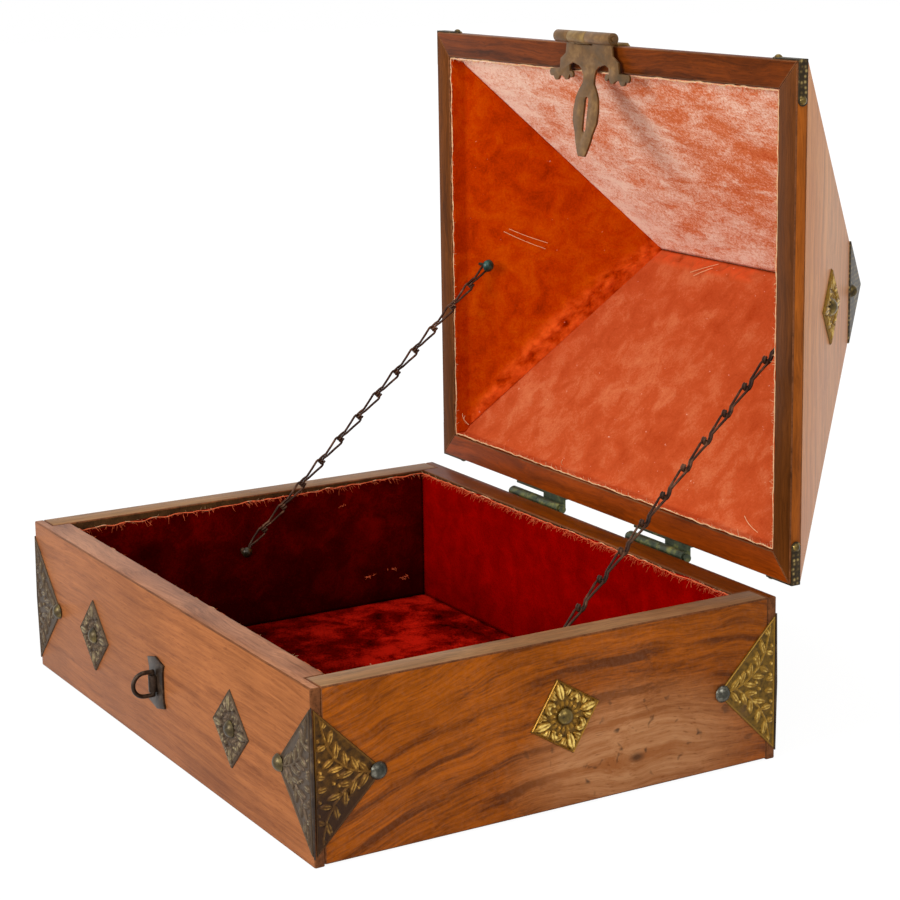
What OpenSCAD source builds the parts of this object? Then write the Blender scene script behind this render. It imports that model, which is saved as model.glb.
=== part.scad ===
// Donation box: a velvet-lined hardwood box with a hipped lid that stands open on two chains.
// Millimetres, +Z up, origin at the centre of the underside. The front, with the staple, faces -Y.
// The lid is drawn closed and then swung open about its hinge pins.

/* [Box] */
// Outside width of the box, along the hinge
box_w = 334; // [300:1:380]
// Outside depth of the box, front to back
box_d = 250; // [220:1:290]
// Height of the four walls
wall_h = 82; // [74:1:100]
// Thickness of the wall boards
wall_t = 15; // [12:0.5:18]
// Thickness of the lip that covers each side board's end
rabbet_lip = 5; // [3:0.5:7]
// How far the side boards stop above the table
side_lift = 0.8; // [0.4:0.1:2]
// Thickness of the bottom board
bottom_t = 4.5; // [3:0.5:8]

/* [Lid] */
// Height of the upright rim round the lid
rim_h = 6.5; // [5:0.5:10]
// Width of the rim frame's members
rim_w = 13.5; // [11:0.5:17]
// Length of the ridge
ridge_l = 165; // [120:1:200]
// Rise of the roof from the rim to the ridge
roof_rise = 103.5; // [80:0.5:120]
// Thickness of the roof boards
roof_t = 7.5; // [5:0.5:9]
// Gap between the closed lid and the walls
seat_gap = 0.3; // [0.2:0.1:1]

/* [Velvet] */
// Thickness of the velvet linings
velvet_t = 1.3; // [0.8:0.1:2]
// How far the wall linings stop below the top of the walls
velvet_drop = 3; // [2:0.5:8]

/* [Hinges] */
// Distance of each hinge's middle from the middle of the box
hinge_x = 59; // [45:1:90]
// Length of a hinge
hinge_l = 50; // [36:1:60]
// Share of the length that the knuckle on the box takes, in millimetres
box_knuckle_l = 28.5; // [20:0.5:32]
// Distance of the hinge pin behind the back face
pin_back = 6; // [5:0.5:8]
// Distance of the hinge pin below the top of the walls
pin_drop = 1.5; // [0.5:0.5:3]
// Outside radius of the hinge knuckles
knuckle_r = 3.2; // [2.6:0.1:4]
// Radius of the hinge pins
pin_r = 1.5; // [1:0.1:1.8]
// Thickness of the hinge leaves
leaf_t = 1.2; // [0.8:0.1:1.6]
// Height of the leaf on the box, below the pin
box_leaf_h = 14; // [10:1:24]
// Length of the lid's leaf up the slope of the roof
lid_leaf_l = 16; // [10:1:24]

/* [Hasp] */
// Sideways place of the hasp and of the staple under it
hasp_x = -1.5; // [-10:0.5:10]
// Length of the hasp's barrel
hasp_l = 52; // [44:1:60]
// Distance of the hasp's pin below the top of the walls when the lid is shut
hasp_pin_drop = 5.5; // [4:0.5:8]
// Clearance behind the barrel, in front of the box
hasp_clear = 0.8; // [0.4:0.1:1.5]
// Outside radius of the hasp's knuckles
hasp_knuckle_r = 3.2; // [2.6:0.1:3.6]
// Radius of the hasp's pin
hasp_pin_r = 1.3; // [1:0.1:1.6]
// Thickness of the hasp's plates
hasp_t = 1.2; // [0.8:0.1:1.6]
// Distance from the pin down to the neck, where the tongue begins
neck_d = 20; // [17:0.5:24]
// Length of the tongue below the neck
tongue_l = 42; // [36:1:48]
// Largest width of the tongue
tongue_w = 23; // [18:0.5:28]
// Width of the slot in the tongue
slot_w = 3.6; // [3:0.1:5]
// Length of the slot in the tongue
slot_l = 18.4; // [16:0.2:22]
// Outward bend of the tongue at the neck, in degrees
tongue_bend = 7; // [0:1:12]

/* [Staple] */
// Height of the staple's middle above the underside
staple_z = 37; // [30:1:44]
// Width of the staple's plate
staple_w = 16; // [12:0.5:22]
// Height of the staple's plate
staple_h = 22; // [18:0.5:28]
// Thickness of the staple's plate
staple_t = 1.2; // [0.8:0.1:2]
// Radius of the loop, to the middle of its wire
loop_r = 6; // [5:0.5:7]
// Radius of the loop's wire
loop_wire_r = 1.1; // [0.8:0.1:1.3]
// Reach of the loop in front of the box, to the middle of its wire
loop_reach = 13; // [11:0.5:16]
// Radius of the barrel that holds the loop
barrel_r = 2.3; // [1.9:0.1:2.6]

/* [Corner plates] */
// Height of the folded corner plates
corner_h = 71; // [60:1:73]
// Reach of each leaf along its wall
corner_reach = 34.5; // [25:0.5:45]
// Thickness of the pressed plates
plate_t = 0.8; // [0.5:0.1:1.2]
// Radius of the rolled spine along the corner
spine_r = 1.6; // [1.2:0.1:2.2]

/* [Square plates] */
// Side of the square rosette plates
rosette_side = 27; // [20:0.5:32]
// Distance of the two front plates from the middle of the box
rosette_x = 84; // [60:1:100]
// Height of the side plates' middle
side_rosette_z = 45; // [36:1:50]
// Lean of the right side plate from upright, in degrees
side_rosette_lean = 13; // [0:1:20]
// Distance of the lid's plates up the slope, from the rim
lid_rosette_up = 60; // [40:1:80]

/* [Lid mounts] */
// Length of a rim strap's leg
strap_l = 21; // [15:1:28]
// Width of a rim strap
strap_w = 5.4; // [4:0.2:6]
// Reach of a ridge cap down the hip, measured level
cap_hip = 18; // [12:1:24]
// Reach of a ridge cap along the ridge
cap_ridge = 26; // [16:1:36]

/* [Nails] */
// Radius of the domed nail heads
dome_r = 4.2; // [3:0.1:5]
// Height of the domed nail heads
dome_h = 2.8; // [1.8:0.1:3.5]
// Radius of the small nail heads on the straps
strap_nail_r = 2; // [1.4:0.1:2.4]
// Radius of the screw heads on the hinges
screw_r = 2.2; // [1.8:0.1:2.6]
// Radius of the shanks of the chain nails
shank_r = 0.9; // [0.7:0.1:1]

/* [Chains] */
// Distance of the chain from the inner face of the side board at the box nail
chain_off = 6; // [5:0.5:9]
// Place of the box nail, from front to back
box_nail_y = -9.5; // [-30:0.5:20]
// Height of the box nail above the underside
box_nail_z = 52; // [40:1:60]
// Distance of the lid nail from the box's side face
lid_nail_in = 27; // [25:0.5:31]
// Place of the lid nail when the lid is shut, from front to back
lid_nail_y = 9.5; // [0:0.5:20]
// Height of the lid nail over the wall tops when the lid is shut
lid_nail_rise = 16; // [12:0.5:18]
// Links in each chain
links = 13; // [13:1:13]
// Radius of the chain wire
wire_r = 0.65; // [0.5:0.05:0.8]
// Radius of the wide end of a link, to the middle of its wire
eye_r = 2.3; // [2:0.1:2.8]

/* [Hidden] */
$fn = 48;

fit = 0.05;               // running clearance of a pin in its knuckle
knuckle_gap = 0.3;        // end gap between two knuckles
leaf_clear = 0.3;         // gap between the hasp's drop and the box
eps = 0.01;

wood = "sienna";
wood_dark = "saddlebrown";
velvet = "firebrick";
velvet_lid = "coral";
brass = "darkgoldenrod";
bronze = "dimgray";

// Box
half_w = box_w / 2;
half_d = box_d / 2;
in_w = half_w - wall_t;
in_d = half_d - wall_t;
floor_top = bottom_t + velvet_t;

// Hinge line and the swing of the lid
axis_y = half_d + pin_back;
axis_z = wall_h - pin_drop;
open_angle = 90;

// Roof: the outer surface starts at the top of the rim, at the outer edge
rim_z = wall_h + seat_gap;
eave_z = rim_z + rim_h;
half_ridge = ridge_l / 2;
hip_run = half_w - half_ridge;
slope_y = roof_rise / half_d;
slope_x = roof_rise / hip_run;
tilt_y = atan(slope_y);
tilt_x = atan(slope_x);

// Corners of the roof surface that lies t inside the outer one: [half width, half depth, half ridge, ridge z]
function roof_at(t) =
    let (lift_y = t * sqrt(1 + slope_y * slope_y), lift_x = t * sqrt(1 + slope_x * slope_x))
    [half_w - lift_x / slope_x, half_d - lift_y / slope_y,
     half_w - (roof_rise - lift_y + lift_x) / slope_x, eave_z + roof_rise - lift_y];

// Hasp, in the closed lid's frame
hasp_y = -half_d - hasp_clear - hasp_knuckle_r;
hasp_z = wall_h - hasp_pin_drop;
fixed_knuckle = [-13.5, 3];       // span of the knuckle on the lid's plate, from the hasp's middle
hasp_half = hasp_l / 2;
// The same pin once the lid is open
hasp_open_y = axis_y + hasp_z - axis_z;
hasp_open_z = axis_z - hasp_y + axis_y;

// Corner plates
corner_mid = wall_h / 2 - 2;

// Chains: from the box nail to the lid nail in the open lid
lid_nail_x = half_w - lid_nail_in;
lid_nail_z = wall_h + lid_nail_rise;
chain_box_x = in_w - chain_off;
chain_start = [chain_box_x, box_nail_y, box_nail_z];
chain_end = [lid_nail_x, axis_y + lid_nail_z - axis_z, axis_z - lid_nail_y + axis_y];
chain_dir = (chain_end - chain_start) / norm(chain_end - chain_start);
pitch = (norm(chain_end - chain_start) + eye_r) / links;
hook_r = 2 * wire_r + 0.45;
first_link = [0, 2, 8];           // first link of each rigid length of chain
last_link = [2, 8, links];

// ---------- helpers ----------
module opened() {
    translate([0, axis_y, axis_z]) rotate([-open_angle, 0, 0]) translate([0, -axis_y, -axis_z]) children();
}

module both_sides() {
    children();
    mirror([1, 0, 0]) children();
}

// Domed head standing on z = 0
module dome(r, h) {
    ball = (r * r + h * h) / (2 * h);
    intersection() {
        translate([0, 0, h - ball]) sphere(r = ball);
        cylinder(r = r + 1, h = h + 1);
    }
}

// Screw head with a slot, standing on z = 0
module screw_head(turn) {
    difference() {
        dome(screw_r, 1);
        rotate([0, 0, turn]) translate([-screw_r - 1, -0.3, 0.5]) cube([2 * screw_r + 2, 0.6, 2]);
    }
}

// Solid between two surfaces of the roof, over one face: 0 front, 1 right, 2 back, 3 left
module roof_slab(outer_t, inner_t, face) {
    o = roof_at(outer_t);
    i = roof_at(inner_t);
    front = [
        [-o[0], -o[1], eave_z], [o[0], -o[1], eave_z], [o[2], 0, o[3]], [-o[2], 0, o[3]],
        [-i[0], -i[1], eave_z], [i[0], -i[1], eave_z], [i[2], 0, i[3]], [-i[2], 0, i[3]]];
    right = [
        [o[0], -o[1], eave_z], [o[0], o[1], eave_z], [o[2], 0, o[3]],
        [i[0], -i[1], eave_z], [i[0], i[1], eave_z], [i[2], 0, i[3]]];
    if (face == 0 || face == 2) {
        mirror([0, face == 2 ? 1 : 0, 0]) polyhedron(front, [
            [3, 2, 1, 0], [4, 5, 6, 7], [0, 1, 5, 4], [1, 2, 6, 5], [2, 3, 7, 6], [3, 0, 4, 7]]);
    } else {
        mirror([face == 3 ? 1 : 0, 0, 0]) polyhedron(right, [
            [2, 1, 0], [3, 4, 5], [0, 1, 4, 3], [1, 2, 5, 4], [2, 0, 3, 5]]);
    }
}

// Whole roof as a block, its surface pushed out by t
module roof_block(t) {
    o = roof_at(-t);
    polyhedron([
        [-o[0], -o[1], eave_z], [o[0], -o[1], eave_z], [o[0], o[1], eave_z], [-o[0], o[1], eave_z],
        [-o[2], 0, o[3]], [o[2], 0, o[3]]],
        [[0, 1, 2, 3], [4, 5, 1, 0], [1, 5, 2], [5, 4, 3, 2], [3, 4, 0]]);
}

// Puts a flat drawing (x across, y up the slope) on the front slope of the closed roof
module on_front_slope() {
    translate([0, -half_d, eave_z]) rotate([tilt_y, 0, 0]) children();
}

module on_back_slope() {
    translate([0, half_d, eave_z]) rotate([0, 0, 180]) rotate([tilt_y, 0, 0]) children();
}

module on_right_slope() {
    translate([half_w, 0, eave_z]) rotate([0, 0, 90]) rotate([tilt_x, 0, 0]) children();
}

// ---------- box ----------
module end_board(side) {
    mirror([0, side, 0]) difference() {
        translate([-half_w, -half_d, 0]) cube([box_w, wall_t, wall_h]);
        both_sides() translate([in_w, -half_d + rabbet_lip, -1])
            cube([wall_t + 1, wall_t - rabbet_lip + 1, wall_h + 2]);
    }
}
module front_board() { color(wood) end_board(0); }
module back_board() { color(wood) end_board(1); }

module side_board() {
    reach = half_d - rabbet_lip;
    translate([in_w, -reach, side_lift]) cube([wall_t, 2 * reach, wall_h - side_lift]);
}
module left_side_board() { color(wood_dark) mirror([1, 0, 0]) side_board(); }
module right_side_board() { color(wood_dark) side_board(); }

module bottom_board() {
    color(wood_dark) translate([-in_w, -in_d, 0]) cube([2 * in_w, 2 * in_d, bottom_t]);
}

module end_lining(side) {
    mirror([0, side, 0]) translate([-in_w, -in_d, floor_top])
        cube([2 * in_w, velvet_t, wall_h - velvet_drop - floor_top]);
}
module front_lining() { color(velvet) end_lining(0); }
module back_lining() { color(velvet) end_lining(1); }

module side_lining() {
    reach = in_d - velvet_t;
    difference() {
        translate([in_w - velvet_t, -reach, floor_top])
            cube([velvet_t, 2 * reach, wall_h - velvet_drop - floor_top]);
        translate([in_w - velvet_t - 1, box_nail_y, box_nail_z]) rotate([0, 90, 0])
            cylinder(r = shank_r + fit, h = velvet_t + 2);
    }
}
module left_lining() { color(velvet) mirror([1, 0, 0]) side_lining(); }
module right_lining() { color(velvet) side_lining(); }

module floor_lining() {
    color(velvet) translate([-in_w, -in_d, bottom_t]) cube([2 * in_w, 2 * in_d, velvet_t]);
}

// ---------- brass on the box ----------
// Folds something drawn on the front face, at the right corner, round onto the right face
module around_corner() {
    translate([half_w, -half_d, 0]) rotate([0, 0, 90]) mirror([1, 0, 0]) translate([-half_w, half_d, 0])
        children();
}
// Leaf on the front face, with its straight edge on the corner at x = half_w
module corner_leaf() {
    translate([half_w, -half_d, 0]) rotate([90, 0, 0]) linear_extrude(plate_t)
        polygon([[0, corner_mid - corner_h / 2], [0, corner_mid + corner_h / 2], [-corner_reach, corner_mid]]);
}
module corner_plate() {
    corner_leaf();
    around_corner() corner_leaf();
    difference() {
        translate([half_w, -half_d, corner_mid - corner_h / 2]) cylinder(r = spine_r, h = corner_h);
        translate([half_w - 2 * spine_r, -half_d, 0]) cube([2 * spine_r, 2 * spine_r, wall_h]);
    }
}
module corner_plate_front_right() { color(brass) corner_plate(); }
module corner_plate_front_left() { color(brass) mirror([1, 0, 0]) corner_plate(); }
module corner_plate_back_right() { color(brass) mirror([0, 1, 0]) corner_plate(); }
module corner_plate_back_left() { color(brass) mirror([1, 0, 0]) mirror([0, 1, 0]) corner_plate(); }

// Square plate standing on a corner, drawn flat on z = 0
module rosette(lean) {
    rotate([0, 0, 45 + lean]) translate([-rosette_side / 2, -rosette_side / 2, 0])
        cube([rosette_side, rosette_side, plate_t]);
}
module on_front(x, z) { translate([x, -half_d, z]) rotate([90, 0, 0]) children(); }
module on_right(y, z) { translate([half_w, y, z]) rotate([90, 0, 90]) children(); }

side_rosette_y = 4;
module front_rosette_left() { color(brass) on_front(-rosette_x, corner_mid) rosette(0); }
module front_rosette_right() { color(brass) on_front(rosette_x, corner_mid) rosette(0); }
module side_rosette(lean) { on_right(side_rosette_y, side_rosette_z) rosette(lean); }
module side_rosette_right() { color(brass) side_rosette(side_rosette_lean); }
module side_rosette_left() { color(brass) mirror([1, 0, 0]) side_rosette(0); }

// One head at the tip of every corner leaf and one in the middle of every square plate
module box_brass_nails() {
    tip_x = half_w - corner_reach + dome_r * 0.6;
    tip_y = half_d - corner_reach + dome_r * 0.6;
    color(brass) {
        both_sides() for (side = [0, 1]) mirror([0, side, 0]) {
            on_front(tip_x, corner_mid) translate([0, 0, plate_t]) dome(dome_r, dome_h);
            on_right(-tip_y, corner_mid) translate([0, 0, plate_t]) dome(dome_r, dome_h);
        }
        for (x = [-rosette_x, rosette_x])
            on_front(x, corner_mid) translate([0, 0, plate_t]) dome(dome_r, dome_h);
        both_sides() on_right(side_rosette_y, side_rosette_z) translate([0, 0, plate_t]) dome(dome_r, dome_h);
    }
}

// ---------- staple ----------
// The loop's straight bar turns in a barrel that stands upright on the plate
barrel_out = staple_t + loop_wire_r + 0.3;
barrel_l = 2 * (loop_r - loop_wire_r - 0.6);
module staple_plate() {
    color(bronze) on_front(hasp_x, staple_z) difference() {
        union() {
            translate([-staple_w / 2, -staple_h / 2, 0]) cube([staple_w, staple_h, staple_t]);
            for (end = [0, 1]) mirror([0, end, 0]) translate([0, staple_h / 2, 0])
                linear_extrude(staple_t) polygon([[-staple_w / 2, -4], [staple_w / 2, -4],
                    [staple_w / 2 + 1.6, 0], [0, 2.4], [-staple_w / 2 - 1.6, 0]]);
            translate([0, -barrel_l / 2, barrel_out]) rotate([-90, 0, 0])
                cylinder(r = barrel_r, h = barrel_l);
        }
        translate([0, -barrel_l, barrel_out]) rotate([-90, 0, 0])
            cylinder(r = loop_wire_r + fit, h = 2 * barrel_l);
        translate([-staple_w, -staple_h, -5]) cube([2 * staple_w, 2 * staple_h, 5]);
    }
}
module staple_loop() {
    leg = loop_reach - loop_r - barrel_out;
    color(bronze) on_front(hasp_x, staple_z) translate([0, 0, barrel_out]) {
        translate([0, -loop_r, 0]) rotate([-90, 0, 0]) cylinder(r = loop_wire_r, h = 2 * loop_r);
        for (y = [-loop_r, loop_r]) translate([0, y, 0]) {
            sphere(r = loop_wire_r);
            cylinder(r = loop_wire_r, h = leg);
        }
        translate([0, 0, leg]) rotate([0, -90, 0]) rotate([0, 0, -90]) rotate_extrude(angle = 180)
            translate([loop_r, 0]) circle(r = loop_wire_r);
    }
}

// ---------- hinges ----------
// Knuckle of a given span along X, bored for its pin
module knuckle(y, z, x0, x1, r, bore) {
    translate([x0, y, z]) rotate([0, 90, 0]) difference() {
        cylinder(r = r, h = x1 - x0);
        translate([0, 0, -1]) cylinder(r = bore, h = x1 - x0 + 2);
    }
}
// Screws in the two leaves of one hinge, as offsets from its middle
screw_x = hinge_l / 2 - 8;
hinge_lo = -hinge_l / 2;
hinge_mid = hinge_lo + box_knuckle_l;

module box_hinge_leaf(x) {
    color(bronze) translate([x, 0, 0]) difference() {
        union() {
            translate([hinge_lo, half_d, axis_z - box_leaf_h]) cube([hinge_l, leaf_t, box_leaf_h - 2]);
            translate([hinge_lo, half_d, axis_z - knuckle_r]) cube([box_knuckle_l, pin_back, leaf_t]);
            translate([hinge_lo, axis_y, axis_z]) rotate([0, 90, 0])
                cylinder(r = knuckle_r, h = box_knuckle_l);
        }
        translate([hinge_lo - 1, axis_y, axis_z]) rotate([0, 90, 0])
            cylinder(r = pin_r + fit, h = hinge_l + 2);
    }
}
module box_hinge_leaf_left() { box_hinge_leaf(-hinge_x); }
module box_hinge_leaf_right() { box_hinge_leaf(hinge_x); }

module hinge_pin(x) {
    color(brass) translate([x + hinge_lo - 1, axis_y, axis_z]) rotate([0, 90, 0]) union() {
        cylinder(r = pin_r, h = hinge_l + 2);
        translate([0, 0, -0.8]) cylinder(r = pin_r + 0.7, h = 0.8 + 1 - knuckle_gap);
        translate([0, 0, hinge_l + 1 + knuckle_gap]) cylinder(r = pin_r + 0.7, h = 1.5);
    }
}
module hinge_pin_left() { hinge_pin(-hinge_x); }
module hinge_pin_right() { hinge_pin(hinge_x); }

module box_hinge_screws() {
    color(brass) for (x = [-hinge_x, hinge_x], dx = [-screw_x, 0, screw_x])
        translate([x + dx, half_d + leaf_t, axis_z - box_leaf_h / 2 - 2.2])
            rotate([-90, 0, 0]) screw_head(20 * dx + x);
}

// Section of the lid's leaf, bent over the top of the rim, from that edge: [back, up]
up_slope = [-cos(tilt_y), sin(tilt_y)];
off_slope = [sin(tilt_y), cos(tilt_y)];
folded_leaf = [[0, 0.4 - rim_h], [leaf_t, 0.4 - rim_h],
    [leaf_t, leaf_t * (1 - sin(tilt_y)) / cos(tilt_y)],
    lid_leaf_l * up_slope + leaf_t * off_slope, lid_leaf_l * up_slope, [0, 0]];
module lid_hinge_leaf(x) {
    color(bronze) opened() translate([x, 0, 0]) difference() {
        union() {
            translate([hinge_lo, half_d, eave_z]) rotate([90, 0, 90]) linear_extrude(hinge_l)
                polygon(folded_leaf);
            translate([hinge_mid + knuckle_gap, half_d, axis_z + knuckle_r - leaf_t])
                cube([hinge_l - box_knuckle_l - knuckle_gap, pin_back, leaf_t]);
            translate([hinge_mid + knuckle_gap, axis_y, axis_z]) rotate([0, 90, 0])
                cylinder(r = knuckle_r, h = hinge_l - box_knuckle_l - knuckle_gap);
        }
        translate([hinge_lo - 1, axis_y, axis_z]) rotate([0, 90, 0])
            cylinder(r = pin_r + fit, h = hinge_l + 2);
    }
}
module lid_hinge_leaf_left() { lid_hinge_leaf(-hinge_x); }
module lid_hinge_leaf_right() { lid_hinge_leaf(hinge_x); }

module lid_hinge_screws() {
    color(brass) opened() for (x = [-hinge_x, hinge_x], dx = [-screw_x, 0, screw_x])
        on_back_slope() translate([x + dx, lid_leaf_l / 2 + 1, leaf_t]) screw_head(25 * dx + x);
}

// ---------- lid ----------
// Mitred member of the rim frame, along the front
module rim_member(length, half_other) {
    translate([0, 0, rim_z]) linear_extrude(rim_h) polygon([
        [-length / 2, -half_other], [length / 2, -half_other],
        [length / 2 - rim_w, -half_other + rim_w], [-length / 2 + rim_w, -half_other + rim_w]]);
}
module lid_front_rail() { color(wood) opened() rim_member(box_w, half_d); }
module lid_back_rail() { color(wood) opened() mirror([0, 1, 0]) rim_member(box_w, half_d); }
module lid_right_stile() { color(wood) opened() rotate([0, 0, 90]) rim_member(box_d, half_w); }
module lid_left_stile() {
    color(wood) opened() mirror([1, 0, 0]) rotate([0, 0, 90]) rim_member(box_d, half_w);
}

module roof_front_board() { color(wood) opened() roof_slab(0, roof_t, 0); }
module roof_right_board() { color(wood_dark) opened() roof_slab(0, roof_t, 1); }
module roof_back_board() { color(wood) opened() roof_slab(0, roof_t, 2); }
module roof_left_board() { color(wood_dark) opened() roof_slab(0, roof_t, 3); }

module lid_side_lining() {
    difference() {
        roof_slab(roof_t, roof_t + velvet_t, 1);
        translate([lid_nail_x - 1, lid_nail_y, lid_nail_z]) rotate([0, 90, 0])
            cylinder(r = shank_r + 0.4, h = lid_nail_in);
    }
}
module lid_front_lining() { color(velvet_lid) opened() roof_slab(roof_t, roof_t + velvet_t, 0); }
module lid_back_lining() { color(velvet_lid) opened() roof_slab(roof_t, roof_t + velvet_t, 2); }
module lid_right_lining() { color(velvet_lid) opened() lid_side_lining(); }
module lid_left_lining() { color(velvet_lid) opened() mirror([1, 0, 0]) lid_side_lining(); }

// Cap folded over the right end of the ridge
module ridge_cap() {
    hip_y = half_d * (half_w - half_ridge - cap_hip) / hip_run;
    corner_y = half_d - hip_y;
    intersection() {
        difference() {
            roof_block(plate_t);
            roof_block(0);
        }
        translate([0, 0, eave_z + 10]) linear_extrude(roof_rise + 20) polygon([
            [half_ridge - cap_ridge, 0], [half_ridge + cap_hip, -corner_y],
            [half_ridge + cap_hip, corner_y]]);
    }
}
module ridge_cap_right() { color(bronze) opened() ridge_cap(); }
module ridge_cap_left() { color(bronze) opened() mirror([1, 0, 0]) ridge_cap(); }

module lid_rosette() { on_right_slope() translate([0, lid_rosette_up, 0]) rosette(0); }
module lid_rosette_right() { color(brass) opened() lid_rosette(); }
module lid_rosette_left() { color(brass) opened() mirror([1, 0, 0]) lid_rosette(); }

// Leg of a rim strap on the front of the rim, ending at the right corner
strap_mid = rim_z + rim_h / 2;
strap_nail_in = strap_w / 2;
module strap_leg() {
    translate([half_w, -half_d, strap_mid]) rotate([90, 0, 0]) linear_extrude(plate_t) union() {
        translate([-strap_l + strap_w / 2, -strap_w / 2]) square([strap_l - strap_w / 2 + plate_t, strap_w]);
        translate([-strap_l + strap_w / 2, 0]) circle(d = strap_w);
    }
}
module rim_strap() {
    strap_leg();
    around_corner() strap_leg();
}
module lid_rim_straps() {
    color(bronze) opened() both_sides() for (side = [0, 1]) mirror([0, side, 0]) rim_strap();
}

module lid_brass_nails() {
    color(brass) opened() {
        both_sides() {
            on_right_slope() translate([0, lid_rosette_up, plate_t]) dome(dome_r, dome_h);
            on_right_slope() translate([0, hip_run / cos(tilt_x) * (1 - cap_hip / hip_run * 0.8), plate_t])
                dome(dome_r * 0.8, dome_h);
            for (side = [0, 1]) mirror([0, side, 0]) {
                translate([half_w - strap_l + strap_nail_in, -half_d - plate_t, strap_mid]) rotate([90, 0, 0])
                    dome(strap_nail_r, 1.4);
                translate([half_w + plate_t, -half_d + strap_l - strap_nail_in, strap_mid]) rotate([90, 0, 90])
                    dome(strap_nail_r, 1.4);
            }
        }
    }
}

// ---------- hasp ----------
// Right half of the eared plate that both leaves share; y is the distance from the pin
module eared_half() {
    polygon([[0, 4.2], [21, 4.2], [22, 9], [27, 12], [28, 19], [24, 22], [18.5, 19], [18.5, 15],
        [15, 13.6], [9, 15], [6.5, neck_d - 3], [5, neck_d + 0.5], [0, neck_d + 0.5]]);
    translate([31, 20.6]) circle(r = 3);
    translate([35.5, 19.6]) circle(r = 2);
    translate([21.5, 20.4]) circle(r = 2.6);
    translate([16.5, 20]) circle(r = 1.6);
    translate([16, 18.2]) square([3, 2]);
    translate([25, 17.6]) square([10.5, 3.6]);
}
module eared_plate() { both_sides() eared_half(); }

// Tongue below the neck, y measured from the neck
module tongue() {
    wide = tongue_w / 2;
    difference() {
        both_sides() polygon([[0, 0], [5, 0], [5.2, 4], [wide - 3.2, 8], [wide - 1.2, 11.5], [wide, 18],
            [wide - 0.4, 24], [wide - 3.4, 30], [wide - 4.6, 34], [4.2, tongue_l - 2], [2.8, tongue_l],
            [0, tongue_l]]);
        for (end = [0, 1]) translate([0, 11 + slot_w / 2 + end * (slot_l - slot_w)]) circle(d = slot_w);
        translate([-slot_w / 2, 11 + slot_w / 2]) square([slot_w, slot_l - slot_w]);
    }
}

// Drawn hanging in front of the open lid, with the pin at the origin and y downwards
module hasp_leaf() {
    spans = [[-hasp_half, fixed_knuckle[0] - knuckle_gap], [fixed_knuckle[1] + knuckle_gap, hasp_half]];
    color(bronze) translate([hasp_x, hasp_open_y, hasp_open_z]) difference() {
        union() {
            for (span = spans) {
                translate([span[0], 0, 0]) rotate([0, 90, 0])
                    cylinder(r = hasp_knuckle_r, h = span[1] - span[0]);
                translate([max(span[0], -21), hasp_knuckle_r - hasp_t, -4.4])
                    cube([min(span[1], 21) - max(span[0], -21), hasp_t, 4.4]);
            }
            translate([0, hasp_knuckle_r, 0]) rotate([90, 0, 0]) linear_extrude(hasp_t)
                mirror([0, 1, 0]) eared_plate();
            translate([0, hasp_knuckle_r, -neck_d]) rotate([-tongue_bend, 0, 0]) rotate([90, 0, 0])
                linear_extrude(hasp_t) mirror([0, 1, 0]) tongue();
        }
        translate([-hasp_half - 1, 0, 0]) rotate([0, 90, 0]) cylinder(r = hasp_pin_r + fit, h = hasp_l + 2);
    }
}

module hasp_pin() {
    color(brass) translate([hasp_x - hasp_half - 0.8, hasp_open_y, hasp_open_z]) rotate([0, 90, 0])
        cylinder(r = hasp_pin_r, h = hasp_l + 1.6);
}

hasp_nails = [[-16, 12], [16, 12], [0, 24]];
// Section of the fixed plate, bent over the top of the rim, from that edge: [forward, up]
fold_out = leaf_clear + hasp_t + 0.05;
fold_w = 40.4;            // width of the bend, a little less than the eared plate's foot
folded_plate = [[0, 0.6 - rim_h], [fold_out, 0.6 - rim_h],
    [fold_out, (hasp_t + 0.3 - fold_out * sin(tilt_y)) / cos(tilt_y)],
    5 * up_slope + (hasp_t + 0.3) * off_slope, 5 * up_slope + 0.4 * off_slope, [0, 0]];
module hasp_fixed_leaf() {
    drop_y = -half_d - leaf_clear - hasp_t;
    lo = fixed_knuckle[0];
    span = fixed_knuckle[1] - lo;
    color(bronze) opened() translate([hasp_x, 0, 0]) difference() {
        union() {
            translate([lo, hasp_y, hasp_z]) rotate([0, 90, 0]) cylinder(r = hasp_knuckle_r, h = span);
            translate([lo, drop_y + 0.25, hasp_z]) cube([span, hasp_t - 0.4, eave_z - hasp_z - 1]);
            translate([-fold_w / 2, -half_d, eave_z]) mirror([0, 1, 0]) rotate([90, 0, 90])
                linear_extrude(fold_w) polygon(folded_plate);
            on_front_slope() linear_extrude(hasp_t) union() {
                translate([0, -2.6]) eared_plate();
                polygon([[-7, 12], [7, 12], [9, 22], [5, 28], [0, 34], [-5, 28], [-9, 22]]);
            }
        }
        translate([lo - 1, hasp_y, hasp_z]) rotate([0, 90, 0]) cylinder(r = hasp_pin_r + fit, h = span + 2);
    }
    color(brass) opened() translate([hasp_x, 0, 0]) for (at = hasp_nails)
        on_front_slope() translate([at[0], at[1], hasp_t]) dome(strap_nail_r, 1.2);
}

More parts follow.
